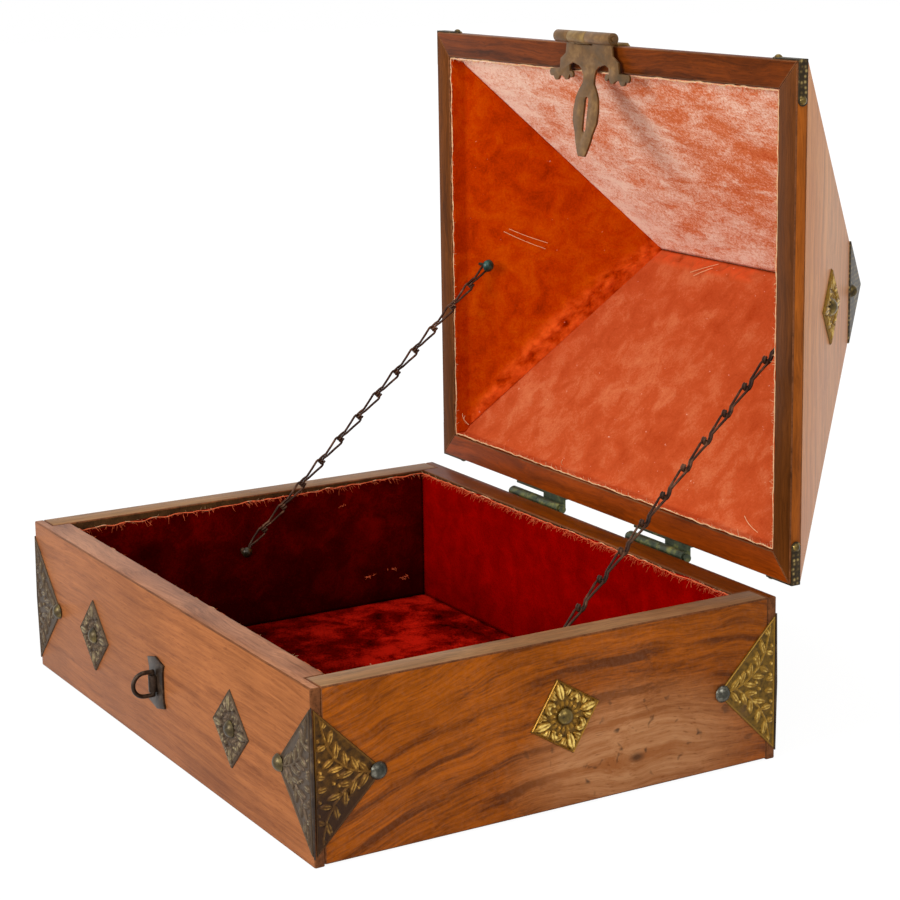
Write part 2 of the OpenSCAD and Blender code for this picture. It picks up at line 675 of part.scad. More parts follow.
// ---------- chains ----------
// Nail through the end of the chain: head on the room side, drawn for the right side
module box_chain_nails() {
    head = wire_r + 2.2;
    color(brass) both_sides() translate([0, box_nail_y, box_nail_z]) {
        translate([chain_box_x - head, 0, 0]) rotate([0, 90, 0]) cylinder(r = shank_r, h = head + chain_off);
        translate([chain_box_x - head, 0, 0]) rotate([0, -90, 0]) dome(3.1, 2.4);
    }
}
module lid_chain_nails() {
    head = 1.6;
    board_z = lid_nail_z + shank_r - eave_z + roof_t * sqrt(1 + slope_x * slope_x);
    wall_x = half_w - board_z / slope_x - 0.05;
    color("teal") opened() both_sides() translate([0, lid_nail_y, lid_nail_z]) {
        translate([lid_nail_x - head, 0, 0]) rotate([0, 90, 0])
            cylinder(r = shank_r, h = wall_x - lid_nail_x + head);
        translate([lid_nail_x - head, 0, 0]) rotate([0, -90, 0]) dome(3.6, 2.8);
    }
}

function unit(v) = v / norm(v);
function tangent(path, i) = unit(path[min(i + 1, len(path) - 1)] - path[max(i - 1, 0)]);
// Sideways directions carried along the path without twist
function carried(path, i) = i == 0
    ? unit(cross(tangent(path, 0), [0.31, 0.53, 0.79]))
    : let (before = carried(path, i - 1), t = tangent(path, i)) unit(before - (before * t) * t);

// Round wire of few sides along a path
module wire(path, r, sides = 6) {
    n = len(path);
    rings = [for (i = [0:n - 1]) let (u = carried(path, i), v = cross(tangent(path, i), u))
        for (k = [0:sides - 1]) path[i] + r * (cos(360 * k / sides) * u + sin(360 * k / sides) * v)];
    sides_of = [for (i = [0:n - 2], k = [0:sides - 1]) let (k2 = (k + 1) % sides)
        [i * sides + k, (i + 1) * sides + k, (i + 1) * sides + k2, i * sides + k2]];
    polyhedron(rings, concat(sides_of,
        [[for (k = [0:sides - 1]) k]], [[for (k = [sides - 1:-1:0]) (n - 1) * sides + k]]));
}

// Directions across the right chain: flat lies in the wall's plane, deep stands square to the wall
chain_flat = unit(cross([1, 0, 0], chain_dir));
chain_deep = unit(cross(chain_dir, chain_flat));
// Point of a link: along the chain, across by a at turn phi, and across by c square to that
function chain_at(along, a, phi, c = 0) = chain_start + along * chain_dir
    + (a * cos(phi) - c * sin(phi)) * chain_flat + (a * sin(phi) + c * cos(phi)) * chain_deep;

// Half of a link's wire, from the end of the hook to the top of the wide end.
// hook_turn is the turn of the bar that it hooks on, loop_turn that of its own wide end.
wire_gap = wire_r + 0.1;
neck_t = 4.4;
function half_link(n, side, hook_turn, loop_turn) =
    let (from = n * pitch, top = pitch - eye_r)
    concat(
        [for (a = [205, 175, 140, 105, 70, 35, 0])
            chain_at(from - hook_r * sin(a), side * wire_gap, hook_turn, hook_r * cos(a))],
        [chain_at(from + 2.2, side * wire_gap, hook_turn, hook_r * 0.75),
         chain_at(from + neck_t, side * wire_gap, hook_turn, 0)],
        [let (f = 0.5, w = wire_gap + (eye_r - wire_gap) * f * 0.9)
            chain_at(from + neck_t + (top - neck_t) * f, side * w, hook_turn + (loop_turn - hook_turn) * f)],
        [for (a = [-5, 20, 45, 70])
            chain_at(from + top + eye_r * sin(a), side * eye_r * cos(a), loop_turn)]);

module chain_link(n, hook_turn, loop_turn) {
    there = half_link(n, 1, hook_turn, loop_turn);
    back = half_link(n, -1, hook_turn, loop_turn);
    wire(concat(there, [chain_at((n + 1) * pitch, 0, loop_turn)],
        [for (i = [len(back) - 1:-1:0]) back[i]]), wire_r);
}

// Rigid length of chain. The links lie flat along the wall where turn is 0 and stand square to it at 90.
module chain_part(part, turn) {
    for (n = [first_link[part]:last_link[part] - 1])
        chain_link(n, n == 0 ? 90 : turn, n == links - 1 ? 0 : turn);
}
module chain_left_part(part) { color(bronze) mirror([1, 0, 0]) chain_part(part, 0); }
module chain_right_part(part) { color(bronze) chain_part(part, 90); }

front_board();
back_board();
left_side_board();
right_side_board();
bottom_board();
front_lining();
back_lining();
left_lining();
right_lining();
floor_lining();
corner_plate_front_left();
corner_plate_front_right();
corner_plate_back_left();
corner_plate_back_right();
front_rosette_left();
front_rosette_right();
side_rosette_left();
side_rosette_right();
box_brass_nails();
staple_plate();
staple_loop();
box_hinge_leaf_left();
box_hinge_leaf_right();
hinge_pin_left();
hinge_pin_right();
box_hinge_screws();
box_chain_nails();
lid_front_rail();
lid_back_rail();
lid_left_stile();
lid_right_stile();
roof_front_board();
roof_back_board();
roof_left_board();
roof_right_board();
lid_front_lining();
lid_back_lining();
lid_left_lining();
lid_right_lining();
ridge_cap_left();
ridge_cap_right();
lid_rosette_left();
lid_rosette_right();
lid_rim_straps();
lid_brass_nails();
lid_hinge_leaf_left();
lid_hinge_leaf_right();
lid_hinge_screws();
hasp_fixed_leaf();
lid_chain_nails();
hasp_pin();
hasp_leaf();
chain_left_part(0);  // chain_left_1
chain_left_part(1);  // chain_left_2
chain_left_part(2);  // chain_left_3
chain_right_part(0);  // chain_right_1
chain_right_part(1);  // chain_right_2
chain_right_part(2);  // chain_right_3
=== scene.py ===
import math
import random

import bmesh
import bpy
import numpy as np
from mathutils import Matrix, Vector, noise


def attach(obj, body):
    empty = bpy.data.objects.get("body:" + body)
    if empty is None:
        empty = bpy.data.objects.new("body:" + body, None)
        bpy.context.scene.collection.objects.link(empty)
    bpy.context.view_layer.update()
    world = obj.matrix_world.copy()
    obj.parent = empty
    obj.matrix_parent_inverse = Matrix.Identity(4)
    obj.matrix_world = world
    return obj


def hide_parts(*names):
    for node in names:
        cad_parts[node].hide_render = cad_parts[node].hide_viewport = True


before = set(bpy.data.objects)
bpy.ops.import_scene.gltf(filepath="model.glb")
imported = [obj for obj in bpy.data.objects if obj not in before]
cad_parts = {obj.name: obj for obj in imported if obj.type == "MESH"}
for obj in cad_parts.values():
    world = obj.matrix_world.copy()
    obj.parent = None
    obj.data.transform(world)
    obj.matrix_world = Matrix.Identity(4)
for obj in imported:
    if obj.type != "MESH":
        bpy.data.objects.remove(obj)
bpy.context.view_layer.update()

scene = bpy.context.scene
MM = 0.001

# ---------------------------------------------------------------- sizes, in metres
HALF_W, HALF_D = 167 * MM, 125 * MM
PIN_Y, PIN_Z = 131 * MM, 80.5 * MM
EAVE_Z, RISE, HALF_RIDGE = 88.8 * MM, 103.5 * MM, 82.5 * MM
CORNER_MID, CORNER_H, CORNER_REACH = 39 * MM, 71 * MM, 34.5 * MM
HIP_TILT = math.atan2(RISE, HALF_W - HALF_RIDGE)

# The lid is laid out shut and then swung open about its hinge pins
OPENED = (Matrix.Translation((0, PIN_Y, PIN_Z)) @ Matrix.Rotation(-math.pi / 2, 4, "X")
          @ Matrix.Translation((0, -PIN_Y, -PIN_Z)))
FRONT_FACE = Matrix.Rotation(math.pi / 2, 4, "X")
RIGHT_FACE = Matrix.Rotation(math.pi / 2, 4, "Z") @ FRONT_FACE
MIRROR_X = Matrix.Scale(-1, 4, (1, 0, 0))
MIRROR_Y = Matrix.Scale(-1, 4, (0, 1, 0))


def at(x, y, z):
    return Matrix.Translation((x * MM, y * MM, z * MM))


RIGHT_SLOPE = (OPENED @ Matrix.Translation((HALF_W, 0, EAVE_Z)) @ Matrix.Rotation(math.pi / 2, 4, "Z")
               @ Matrix.Rotation(HIP_TILT, 4, "X"))


# ---------------------------------------------------------------- materials
def paint(code):
    """Linear colour of an sRGB hex value."""
    parts = [int(code[i:i + 2], 16) / 255 for i in (1, 3, 5)]
    return [c / 12.92 if c <= 0.04045 else ((c + 0.055) / 1.055) ** 2.4 for c in parts] + [1.0]


def add(tree, kind, inputs=None, stops=None, **settings):
    """Adds a node with its settings, its values and the sockets that feed it."""
    node = tree.nodes.new(kind)
    for key, value in settings.items():
        setattr(node, key, value)
    if stops:
        elements = node.color_ramp.elements
        for place, _ in stops[2:]:
            elements.new(place)
        for element, (place, code) in zip(elements, stops):
            element.position = place
            element.color = paint(code)
    for key, value in (inputs or {}).items():
        socket = node.inputs[key]
        if isinstance(value, bpy.types.NodeSocket):
            tree.links.new(value, socket)
        else:
            socket.default_value = value
    return node


def surface(name, **values):
    """A new material with one shader; values go on the shader's own sockets."""
    finish = bpy.data.materials.new(name)
    finish.use_nodes = True
    tree = finish.node_tree
    tree.nodes.clear()
    sockets = {key.replace("_", " "): value for key, value in values.items()}
    shader = add(tree, "ShaderNodeBsdfPrincipled", sockets)
    add(tree, "ShaderNodeOutputMaterial", {"Surface": shader.outputs[0]})
    return finish, tree, shader


def dress(tree, shader, colour, height, strength, depth):
    """Gives a shader its colour and a bump of some depth in metres."""
    bumps = add(tree, "ShaderNodeBump", {"Height": height, "Strength": strength, "Distance": depth})
    tree.links.new(colour, shader.inputs["Base Color"])
    tree.links.new(bumps.outputs[0], shader.inputs["Normal"])


def object_place(tree):
    return add(tree, "ShaderNodeTexCoord").outputs["Object"]


def along_axis(tree, place, axis):
    return add(tree, "ShaderNodeSeparateXYZ", {0: place}).outputs["XYZ".index(axis)]


def sums(tree, operation, *values):
    return add(tree, "ShaderNodeMath", dict(enumerate(values)), operation=operation).outputs[0]


def vectors(tree, operation, *values):
    node = add(tree, "ShaderNodeVectorMath", dict(enumerate(values)), operation=operation)
    return node.outputs["Value" if operation == "LENGTH" else 0]


def ramp(tree, value, *stops):
    return add(tree, "ShaderNodeValToRGB", {0: value}, stops=stops).outputs[0]


def noise_on(tree, place, scale, detail=4.0, rough=0.6, distortion=0.0, stretch=None, turn=(0, 0, 0)):
    """Noise of so many features a metre; stretch and turn draw it out in a direction."""
    if stretch:
        inputs = {"Vector": place, "Scale": stretch, "Rotation": turn}
        place = add(tree, "ShaderNodeMapping", inputs).outputs[0]
    inputs = {"Vector": place, "Scale": scale, "Detail": detail, "Roughness": rough,
              "Distortion": distortion}
    return add(tree, "ShaderNodeTexNoise", inputs).outputs[0]


def sum_of(tree, *parts):
    """Weighted sum of some outputs."""
    total = 0.0
    for output, weight in parts:
        total = sums(tree, "MULTIPLY_ADD", output, weight, total)
    return total


def ranged(tree, value, low, high, start=0.0, end=1.0):
    """Value between low and high, stretched to run from start to end."""
    inputs = {"Value": value, "From Min": low, "From Max": high, "To Min": start, "To Max": end}
    return add(tree, "ShaderNodeMapRange", inputs).outputs[0]


def mixed(tree, share, first, second):
    return add(tree, "ShaderNodeMix", {0: share, 6: first, 7: second}, data_type="RGBA").outputs[2]


# A wave texture of scale 1 has its crests this far apart, in metres
WAVE_SCALE = 0.314
# Sum of the figure's noises at which the wood begins to darken
FIRST_DARK = 0.69


def mahogany(name, along, light, middle, deep, heart, ring_gap, bands=0.2, rough=0.4, shine=0.05, knot=None,
             ashy="#B28460", contrast=0.51, dust=0.0, wave=0.022):
    """Mahogany board under an old satin varnish: fine dark fibres, short pores and a few dark bands.

    along is the grain's axis, heart the middle of the growth rings in mm, ring_gap their spacing and bands
    how dark they are. rough and shine are those of the varnish. knot is the middle of a knot in mm, round
    which the grain bends and the wood turns ashy. A smaller contrast draws the dark fibres harder, dust
    lays a pale bloom of scuffs over the varnish and wave is how far the grain wanders in metres."""
    finish, tree, shader = surface(name, Roughness=rough, Specular_IOR_Level=shine)
    place = object_place(tree)
    run = "XYZ".index(along)
    drift = add(tree, "ShaderNodeTexNoise", {"Vector": place, "Scale": 11.0, "Detail": 3.0})
    bent = vectors(tree, "MULTIPLY_ADD", drift.outputs["Color"], (wave,) * 3, place)
    if knot:
        # The grain parts round the knot
        gap = vectors(tree, "SUBTRACT", place, tuple(k * MM for k in knot))
        flat = vectors(tree, "MULTIPLY", gap, (0.0, 0.55, 1.0))
        far = vectors(tree, "LENGTH", flat)
        push = sums(tree, "MULTIPLY", ranged(tree, far, 0.0, 0.03, 1.0, 0.0), -0.6)
        bent = vectors(tree, "MULTIPLY_ADD", flat, push, bent)
        # and falls away to both sides of it, 25 mm lower at 150 mm
        run_out = along_axis(tree, gap, along)
        drop = add(tree, "ShaderNodeCombineXYZ", {2: sums(tree, "MULTIPLY", run_out, run_out)}).outputs[0]
        bent = vectors(tree, "MULTIPLY_ADD", drop, (1.1,) * 3, bent)

    def drawn_out(detail, rough, across, down):
        """Noise with so many features a metre across the grain and down it."""
        size = [across] * 3
        size[run] = down
        return noise_on(tree, bent, 1.0, detail, rough, stretch=size)

    # Fibres of 1 by 33 mm, stripes of 4 by 110 mm and pores of 0.6 by 5.5 mm
    fibre = drawn_out(5.0, 0.7, 900.0, 30.0)
    stripe = drawn_out(4.0, 0.65, 230.0, 9.0)
    pore = drawn_out(1.0, 0.5, 1700.0, 180.0)
    cloud = noise_on(tree, place, 13.0, 4.0, 0.55, 0.4)
    # Growth rings drawn out along the board; only the crest of a ring is dark, and not everywhere
    stretch = [1.0, 1.0, 1.0]
    stretch[run] = 0.24
    middle_at = [-h * MM * k for h, k in zip(heart, stretch)]
    rings_at = add(tree, "ShaderNodeMapping", {"Vector": bent, "Scale": stretch, "Location": middle_at})
    rings = add(tree, "ShaderNodeTexWave",
                {"Vector": rings_at.outputs[0], "Scale": WAVE_SCALE / (ring_gap * MM), "Distortion": 2.6,
                 "Detail": 3.0, "Detail Scale": 1.6, "Detail Roughness": 0.6},
                wave_type="RINGS", rings_direction="SPHERICAL")
    crest = ranged(tree, rings.outputs[1], 0.72, 1.0)
    here = ranged(tree, noise_on(tree, place, 20.0, 2.0, 0.5), 0.42, 0.62)
    band = sums(tree, "MULTIPLY", crest, here)
    base = mixed(tree, ranged(tree, cloud, 0.38, 0.64), paint(middle), paint(light))
    figure = sum_of(tree, (fibre, 0.75), (stripe, 0.8), (pore, 0.12), (band, bands))
    dark = ranged(tree, figure, FIRST_DARK, FIRST_DARK + contrast)
    colour = mixed(tree, dark, base, paint(deep))
    if knot:
        grey = sums(tree, "MULTIPLY", ranged(tree, far, 0.008, 0.044, 1.0, 0.0), cloud)
        ashen = mixed(tree, sums(tree, "MULTIPLY", dark, 0.7), paint(ashy), paint(middle))
        colour = mixed(tree, ranged(tree, grey, 0.04, 0.4, 0.0, 0.8), colour, ashen)
        spots = ranged(tree, noise_on(tree, place, 130.0, 2.0, 0.5, 0.3), 0.64, 0.72)
        dots = sums(tree, "MULTIPLY", spots, ranged(tree, far, 0.02, 0.05, 0.8, 0.0))
        worst = sums(tree, "MAXIMUM", dots, ranged(tree, far, 0.0008, 0.003, 0.75, 0.0))
        colour = mixed(tree, worst, colour, paint("#3A281C"))
    colour = mixed(tree, ranged(tree, pore, 0.64, 0.76, 0.0, 0.45), colour, paint(deep))
    if dust:
        scuffs = sum_of(tree, (noise_on(tree, place, 420.0, 3.0, 0.75), 0.6), (cloud, 0.5))
        colour = mixed(tree, ranged(tree, scuffs, 0.5, 0.8, 0.0, dust), colour, paint("#C8A084"))
    dress(tree, shader, colour, fibre, 0.12, 0.5 * MM)
    return finish


def velvet(name, deep, middle, pale, crushed, patch=12, low=0.45, high=0.88, sheen=0.0, stretch=(1, 1, 1),
           turn=(0, 0, 0), lint=0.0, painted_shade=None, painted_sheen=None, fuzz=0.3, swirl=0.5, rough=0.6):
    """Silk velvet, crushed: patches where the pile lies over catch the light.

    patch is the size of the patches in mm, swirl and rough their shape, stretch and turn the lie of the
    creases, and fuzz the strength of the pile. The crush attribute brings in the bunched cloth, crushed on
    the crests of its folds; the fold attribute paints the crests paler, a painted highlight, and the
    troughs darker, painted shade. painted_shade is the axis, the two places in mm, the share and the colour
    of a painted shade that deepens across the cloth. painted_sheen is the axis, two places in mm and how
    much paler the pattern gets from the second place to the first, a painted sheen. lint is the share of
    the pale specks."""
    finish, tree, shader = surface(name, Roughness=0.85, Specular_IOR_Level=0.0, Sheen_Weight=sheen,
                                   Sheen_Roughness=0.4, Sheen_Tint=paint(pale))
    place = object_place(tree)
    patches = noise_on(tree, place, 1000 / patch, 7.0, rough, swirl, stretch, turn)
    broad = noise_on(tree, place, 250 / patch, 3.0, 0.5, 0.3)
    # Pile: tufts drawn at 1.2 mm, coarser than life so that they show
    pile = noise_on(tree, place, 850.0, 2.0, 0.7)
    both = sum_of(tree, (patches, 0.7), (broad, 0.35), (pile, fuzz))
    # Painted sheen: the pattern is painted paler towards the first place
    if painted_sheen:
        axis, start, end, most = painted_sheen
        paler = ranged(tree, along_axis(tree, place, axis), start * MM, end * MM, most, 0.0)
        both = sum_of(tree, (both, 1.0), (paler, 1.0))
    colour = ramp(tree, ranged(tree, both, low, high), (0.0, deep), (0.5, middle), (1.0, pale))
    crush = add(tree, "ShaderNodeAttribute", attribute_name="crush").outputs["Fac"]
    fold = add(tree, "ShaderNodeAttribute", attribute_name="fold").outputs["Fac"]
    # The bunched cloth's folds: painted highlight on their crests, where the pile is also crushed, and
    # painted shade in their troughs
    folds = ranged(tree, sum_of(tree, (fold, 1.0), (pile, 0.5)), 0.22, 1.05)
    bunched = ramp(tree, folds, (0.0, deep), (0.3, middle), (1.0, crushed))
    colour = mixed(tree, ranged(tree, crush, 0.05, 0.5), colour, bunched)
    # Painted shade: the colour darkens towards the first place
    if painted_shade:
        axis, start, end, most, tone = painted_shade
        # The noise is near 0.5, so it shifts the place by half of its weight
        uneven = sum_of(tree, (along_axis(tree, place, axis), 1.0), (broad, 0.05))
        shade_share = ranged(tree, uneven, start * MM + 0.025, end * MM + 0.025, most, 0.0)
        colour = mixed(tree, shade_share, colour, paint(tone))
    if lint:
        specks = ranged(tree, noise_on(tree, place, 330.0, 2.0, 0.5), 0.74, 0.79, 0.0, lint)
        colour = mixed(tree, specks, colour, paint("#F0CDB4"))
    dress(tree, shader, colour, both, 0.6, 1.4 * MM)
    return finish


def pressed_brass(name, low, middle, high, tarnish, amount, rough=0.38, dull_below=None, metal=0.6):
    """Thin sheet brass pressed with ornament: dark in the hollows, rubbed bright on the high points. The
    colour follows the relief, partly real grime and wear and partly painted shade in the hollows and
    painted highlights on the crests.

    The relief attribute is the height of the pressing. Tarnish spreads in patches, and over the whole
    plate below a height in mm."""
    finish, tree, shader = surface(name, Metallic=metal, Roughness=rough, Specular_IOR_Level=0.25)
    place = object_place(tree)
    relief = add(tree, "ShaderNodeAttribute", attribute_name="relief").outputs["Fac"]
    # Colour rises with the relief and with noise: painted shade in the hollows and painted highlights on
    # the crests, partly real grime and rubbed wear
    rub_and_glint = noise_on(tree, place, 420.0, 4.0, 0.6)
    level = ranged(tree, sum_of(tree, (relief, 0.8), (rub_and_glint, 0.9)), 0.25, 1.3)
    colour = ramp(tree, level, (0.0, low), (0.45, middle), (0.72, middle), (1.0, high))
    spread = noise_on(tree, place, 70.0, 5.0, 0.6)
    patchy = ranged(tree, spread, 0.72 - 0.4 * amount, 0.9 - 0.4 * amount, 0.0, 0.8)
    if dull_below:
        # The noise is near 0.5, so it shifts the height by half of its weight
        height = sum_of(tree, (along_axis(tree, place, "Z"), 1.0), (spread, 0.03))
        start, end = (dull_below - 8) * MM, (dull_below + 8) * MM
        lower = ranged(tree, height, start + 0.015, end + 0.015, 0.85, 0.0)
        patchy = sums(tree, "MAXIMUM", patchy, lower)
    share = sums(tree, "MULTIPLY", patchy, ranged(tree, relief, 0.3, 1.1, 1.0, 0.55))
    tree.links.new(mixed(tree, share, colour, paint(tarnish)), shader.inputs["Base Color"])
    return finish


def aged_metal(name, dark, middle, bright, metallic, rough, size, beads=None, shine=0.5):
    """Old brass or iron fitting with a worn brown skin; size is that of its blotches in mm.

    beads is the spacing in mm of punched beads."""
    finish, tree, shader = surface(name, Metallic=metallic, Roughness=rough, Specular_IOR_Level=shine)
    place = object_place(tree)
    blotch = noise_on(tree, place, 1000 / size, 5.0, 0.65)
    level = blotch
    if beads:
        inputs = {"Vector": place, "Scale": 1000 / beads, "Randomness": 0.3}
        bead = add(tree, "ShaderNodeTexVoronoi", inputs).outputs["Distance"]
        level = sum_of(tree, (blotch, 0.6), (ranged(tree, bead, 0.15, 0.5, 1.0, 0.0), 0.42))
    colour = ramp(tree, level, (0.3, dark), (0.52, middle), (0.72, bright))
    dress(tree, shader, colour, blotch, 0.2, 0.3 * MM)
    return finish


def silk_thread(name, code):
    return surface(name, Base_Color=paint(code), Roughness=0.8, Specular_IOR_Level=0.1)[0]


wood_front = mahogany("mahogany_front", "X", "#A46438", "#965B32", "#67361A", (60, -125, -90), 16,
                      0.12, wave=0.009)
wood_back = mahogany("mahogany_back", "X", "#9A5524", "#8E4716", "#572A0C", (-40, 125, 120), 16, wave=0.012)
wood_side = mahogany("mahogany_side", "Y", "#B0590B", "#9C4F0B", "#612E09", (167, 40, -30), 17, 0.26,
                     rough=0.34, knot=(167, 44, 17), contrast=0.36, dust=0.09, ashy="#C48F62")
wood_bottom = mahogany("mahogany_bottom", "X", "#8E5224", "#7E4214", "#522A10", (0, 60, -80), 16)
# Inner faces of the boards above the lining: a darker copy of the wood, painted shade
wood_inside_shaded = mahogany("mahogany_inside_painted_shade", "X", "#54381C", "#482C14", "#241408", (0, 60, -80), 16,
                      rough=0.6)
wood_rail = mahogany("mahogany_lid_rail", "X", "#7A370B", "#692E08", "#401B03", (0, 140, 120), 16,
                     contrast=0.4)
wood_low_rail = mahogany("mahogany_lid_low_rail", "X", "#993F06", "#853504", "#511F02", (0, 140, 120), 16)
wood_stile = mahogany("mahogany_lid_stile", "Z", "#6E3B14", "#613310", "#391C07", (230, 140, 200), 16)
wood_edge = mahogany("mahogany_lid_edge", "Z", "#BB6824", "#A9591B", "#6E370E", (230, 140, 200), 16)
# The back board's rim: a darker copy of the back's wood, painted shade
wood_back_rim_shaded = mahogany("mahogany_back_rim_painted_shade", "X", "#733701", "#692C01", "#3F1801", (-40, 125, 120), 16)
# Seen along their slope the hips shine nearly white, so they keep more of their varnish; their colours are
# also painted paler than the other boards', a painted sheen
wood_hip_sheen = mahogany("mahogany_roof_hip_painted_sheen", "Z", "#DF995A", "#D2874C", "#9E5D2D", (60, 300, 220), 18, 0.1,
                    rough=0.45, shine=0.5)
wood_slope = mahogany("mahogany_roof_slope", "X", "#9A5524", "#8E4716", "#572A0C", (20, 200, 420), 16,
                      wave=0.012)
wood_worn = mahogany("mahogany_worn_edge", "X", "#8A5430", "#6E4024", "#3E2212", (0, 0, 0), 9)
wood_rim = mahogany("mahogany_rubbed_rim", "X", "#B9805C", "#A86E4B", "#6C4027", (0, 0, -200), 16)
wood_side_rim = mahogany("mahogany_side_rim", "Y", "#A37A52", "#906641", "#54402C", (100, 0, -200), 16)
# The box is lined with one red velvet. The left wall is a darker copy of it, painted shade; the left and
# back walls darken towards their foot, painted shade, and the floor towards the front, the painted shadow
# of the walls
velvet_left = velvet("velvet_red_shaded", "#340000", "#4D0100", "#710300", "#A61902",
                     painted_shade=("Z", 5, 70, 0.75, "#170000"))
velvet_back = velvet("velvet_red_back", "#700000", "#860100", "#9E0200", "#C82210",
                     painted_shade=("Z", -30, 40, 0.7, "#300000"))
velvet_near = velvet("velvet_red_near", "#5A0200", "#7A0300", "#920C04", "#C8502C")
velvet_floor = velvet("velvet_red_floor", "#190000", "#6C0300", "#BE1A0C", "#B84222", patch=17, low=0.52,
                      high=0.8, swirl=0.3, painted_shade=("Y", -40, 70, 0.75, "#180000"))
# The lid is lined with one coral velvet, and each panel has its own copy of it, lit and shaded by painted
# light: the top panel is painted pale, a painted sheen that is paler still at its left end, the left panel
# is painted darker, painted shade, and the low and right panels are painted in between
velvet_lid_top_sheen = velvet("velvet_coral_top_painted_sheen", "#BC4414", "#D87444", "#F7D4BE", "#CF5D2A", low=0.52,
                        high=0.92, sheen=0.12, stretch=(0.4, 1.1, 1.0), turn=(0, 0, 0.5), lint=0.35,
                        swirl=0.4, fuzz=0.5, rough=0.78, painted_sheen=("X", -110, -10, 0.12))
velvet_lid_left_shaded = velvet("velvet_coral_left_painted_shade", "#7E1C00", "#AE3000", "#C24A02", "#E2561C", low=0.42,
                         lint=0.3)
velvet_lid_low = velvet("velvet_coral_low", "#A83A14", "#BE5028", "#D4784E", "#D8562A", patch=14,
                        low=0.4, high=0.92, lint=0.6)
velvet_lid_right = velvet("velvet_coral_right", "#9A3008", "#B84818", "#CC6A38", "#D8571C")
brass_near = pressed_brass("pressed_brass_near", "#271605", "#6B4612", "#D7A249", "#321E13", 0.35,
                           dull_below=36)
brass_side = pressed_brass("pressed_brass_gilt", "#3C2C0C", "#86621E", "#DEB860", "#5E4232", 0.35)
brass_front = pressed_brass("pressed_brass_dull", "#322417", "#503F2D", "#8F7F5B", "#48382A", 0.7,
                            rough=0.45, metal=0.4)
brass_gilt = pressed_brass("pressed_brass_bright", "#241704", "#8A621C", "#F4D070", "#5A4416", 0.1,
                           rough=0.3)
# The last three numbers are metallic, roughness and the size of the blotches
hasp_metal = aged_metal("aged_brass_hasp", "#4D3717", "#6C4A21", "#916C3C", 0.4, 0.42, 9)
hasp_plate_metal = aged_metal("aged_brass_hasp_plate", "#5A4522", "#7A5A2A", "#A08248", 0.4, 0.42, 9)
staple_metal = aged_metal("blackened_brass_staple", "#1A120C", "#36281E", "#5A4838", 0.6, 0.4, 4,
                          shine=0.25)
chain_metal = aged_metal("brown_bronze_wire", "#22130C", "#3C2417", "#74503A", 0.15, 0.45, 8, shine=0.12)
nail_metal = aged_metal("rubbed_brass_nail", "#2A2214", "#6A5626", "#B89C54", 0.75, 0.3, 6)
steel_metal = aged_metal("dark_steel_nail", "#1C1C16", "#46443A", "#8A877A", 0.7, 0.3, 4)
dull_metal = aged_metal("dull_brass_nail", "#241C10", "#4E4022", "#86743E", 0.6, 0.38, 5)
teal_metal = aged_metal("verdigris_nail", "#10241E", "#1E4038", "#3A6A5C", 0.4, 0.35, 4)
hinge_metal = aged_metal("verdigris_hinge", "#20261A", "#3E4630", "#7E7C40", 0.6, 0.42, 7)
strap_metal = aged_metal("dark_brass_strap", "#2E2414", "#5C4A2A", "#A08A54", 0.4, 0.45, 4, beads=2.4,
                         shine=0.2)
spine_metal = aged_metal("dark_brass_spine", "#1C120A", "#332214", "#5C4830", 0.4, 0.42, 5)
box_nail_metal = aged_metal("dark_chain_nail", "#120E08", "#2E2414", "#5A4A26", 0.6, 0.35, 4)
raw_thread = silk_thread("raw_silk_thread", "#DEB488")
red_thread = silk_thread("red_silk_thread", "#D8643C")


# ---------------------------------------------------------------- mesh helpers
def placed(name, data):
    """A new object in the scene."""
    made = bpy.data.objects.new(name, data)
    scene.collection.objects.link(made)
    return made


def meshed(name, bm):
    mesh = bpy.data.meshes.new(name)
    bm.to_mesh(mesh)
    bm.free()
    return mesh


def piece(name, bm, body, finish, stands_for=None, sharp=35):
    """Turns a bmesh into a piece that rides on a body; edges over sharp degrees stay crisp."""
    for face in bm.faces:
        face.smooth = True
    for edge in bm.edges:
        edge.smooth = not edge.is_manifold or edge.calc_face_angle(0) < math.radians(sharp)
    made = placed(name, meshed(name, bm))
    for part in finish if isinstance(finish, list) else [finish]:
        made.data.materials.append(part)
    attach(made, body)
    if stands_for:
        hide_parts(stands_for)
    return made


def copied(node, flat=True):
    """A node's mesh, with the triangles of its flat faces joined."""
    bm = bmesh.new()
    bm.from_mesh(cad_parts[node].data)
    bmesh.ops.remove_doubles(bm, verts=bm.verts, dist=1e-6)
    if flat:
        bmesh.ops.dissolve_limit(bm, angle_limit=0.01, verts=bm.verts, edges=bm.edges)
    return bm


def rounded(node, name, body, finish, width, edge=-1):
    """A fitting or board with its edges rounded by width; edge is the finish of the rounded edges."""
    bm = copied(node)
    crisp = [e for e in bm.edges if e.is_manifold and e.calc_face_angle(0) > math.radians(30)]
    bmesh.ops.bevel(bm, geom=crisp, offset=width, offset_type="OFFSET", segments=2, profile=0.5,
                    affect="EDGES", clamp_overlap=True, material=edge)
    return piece(name, bm, body, finish, node)


# ---------------------------------------------------------------- wooden boards
def finish_faces(board, index, test):
    """Gives the flat faces of a board that pass the test another of its finishes."""
    for face in board.data.polygons:
        if face.material_index == 0 and test(face.normal, face.center):
            face.material_index = index


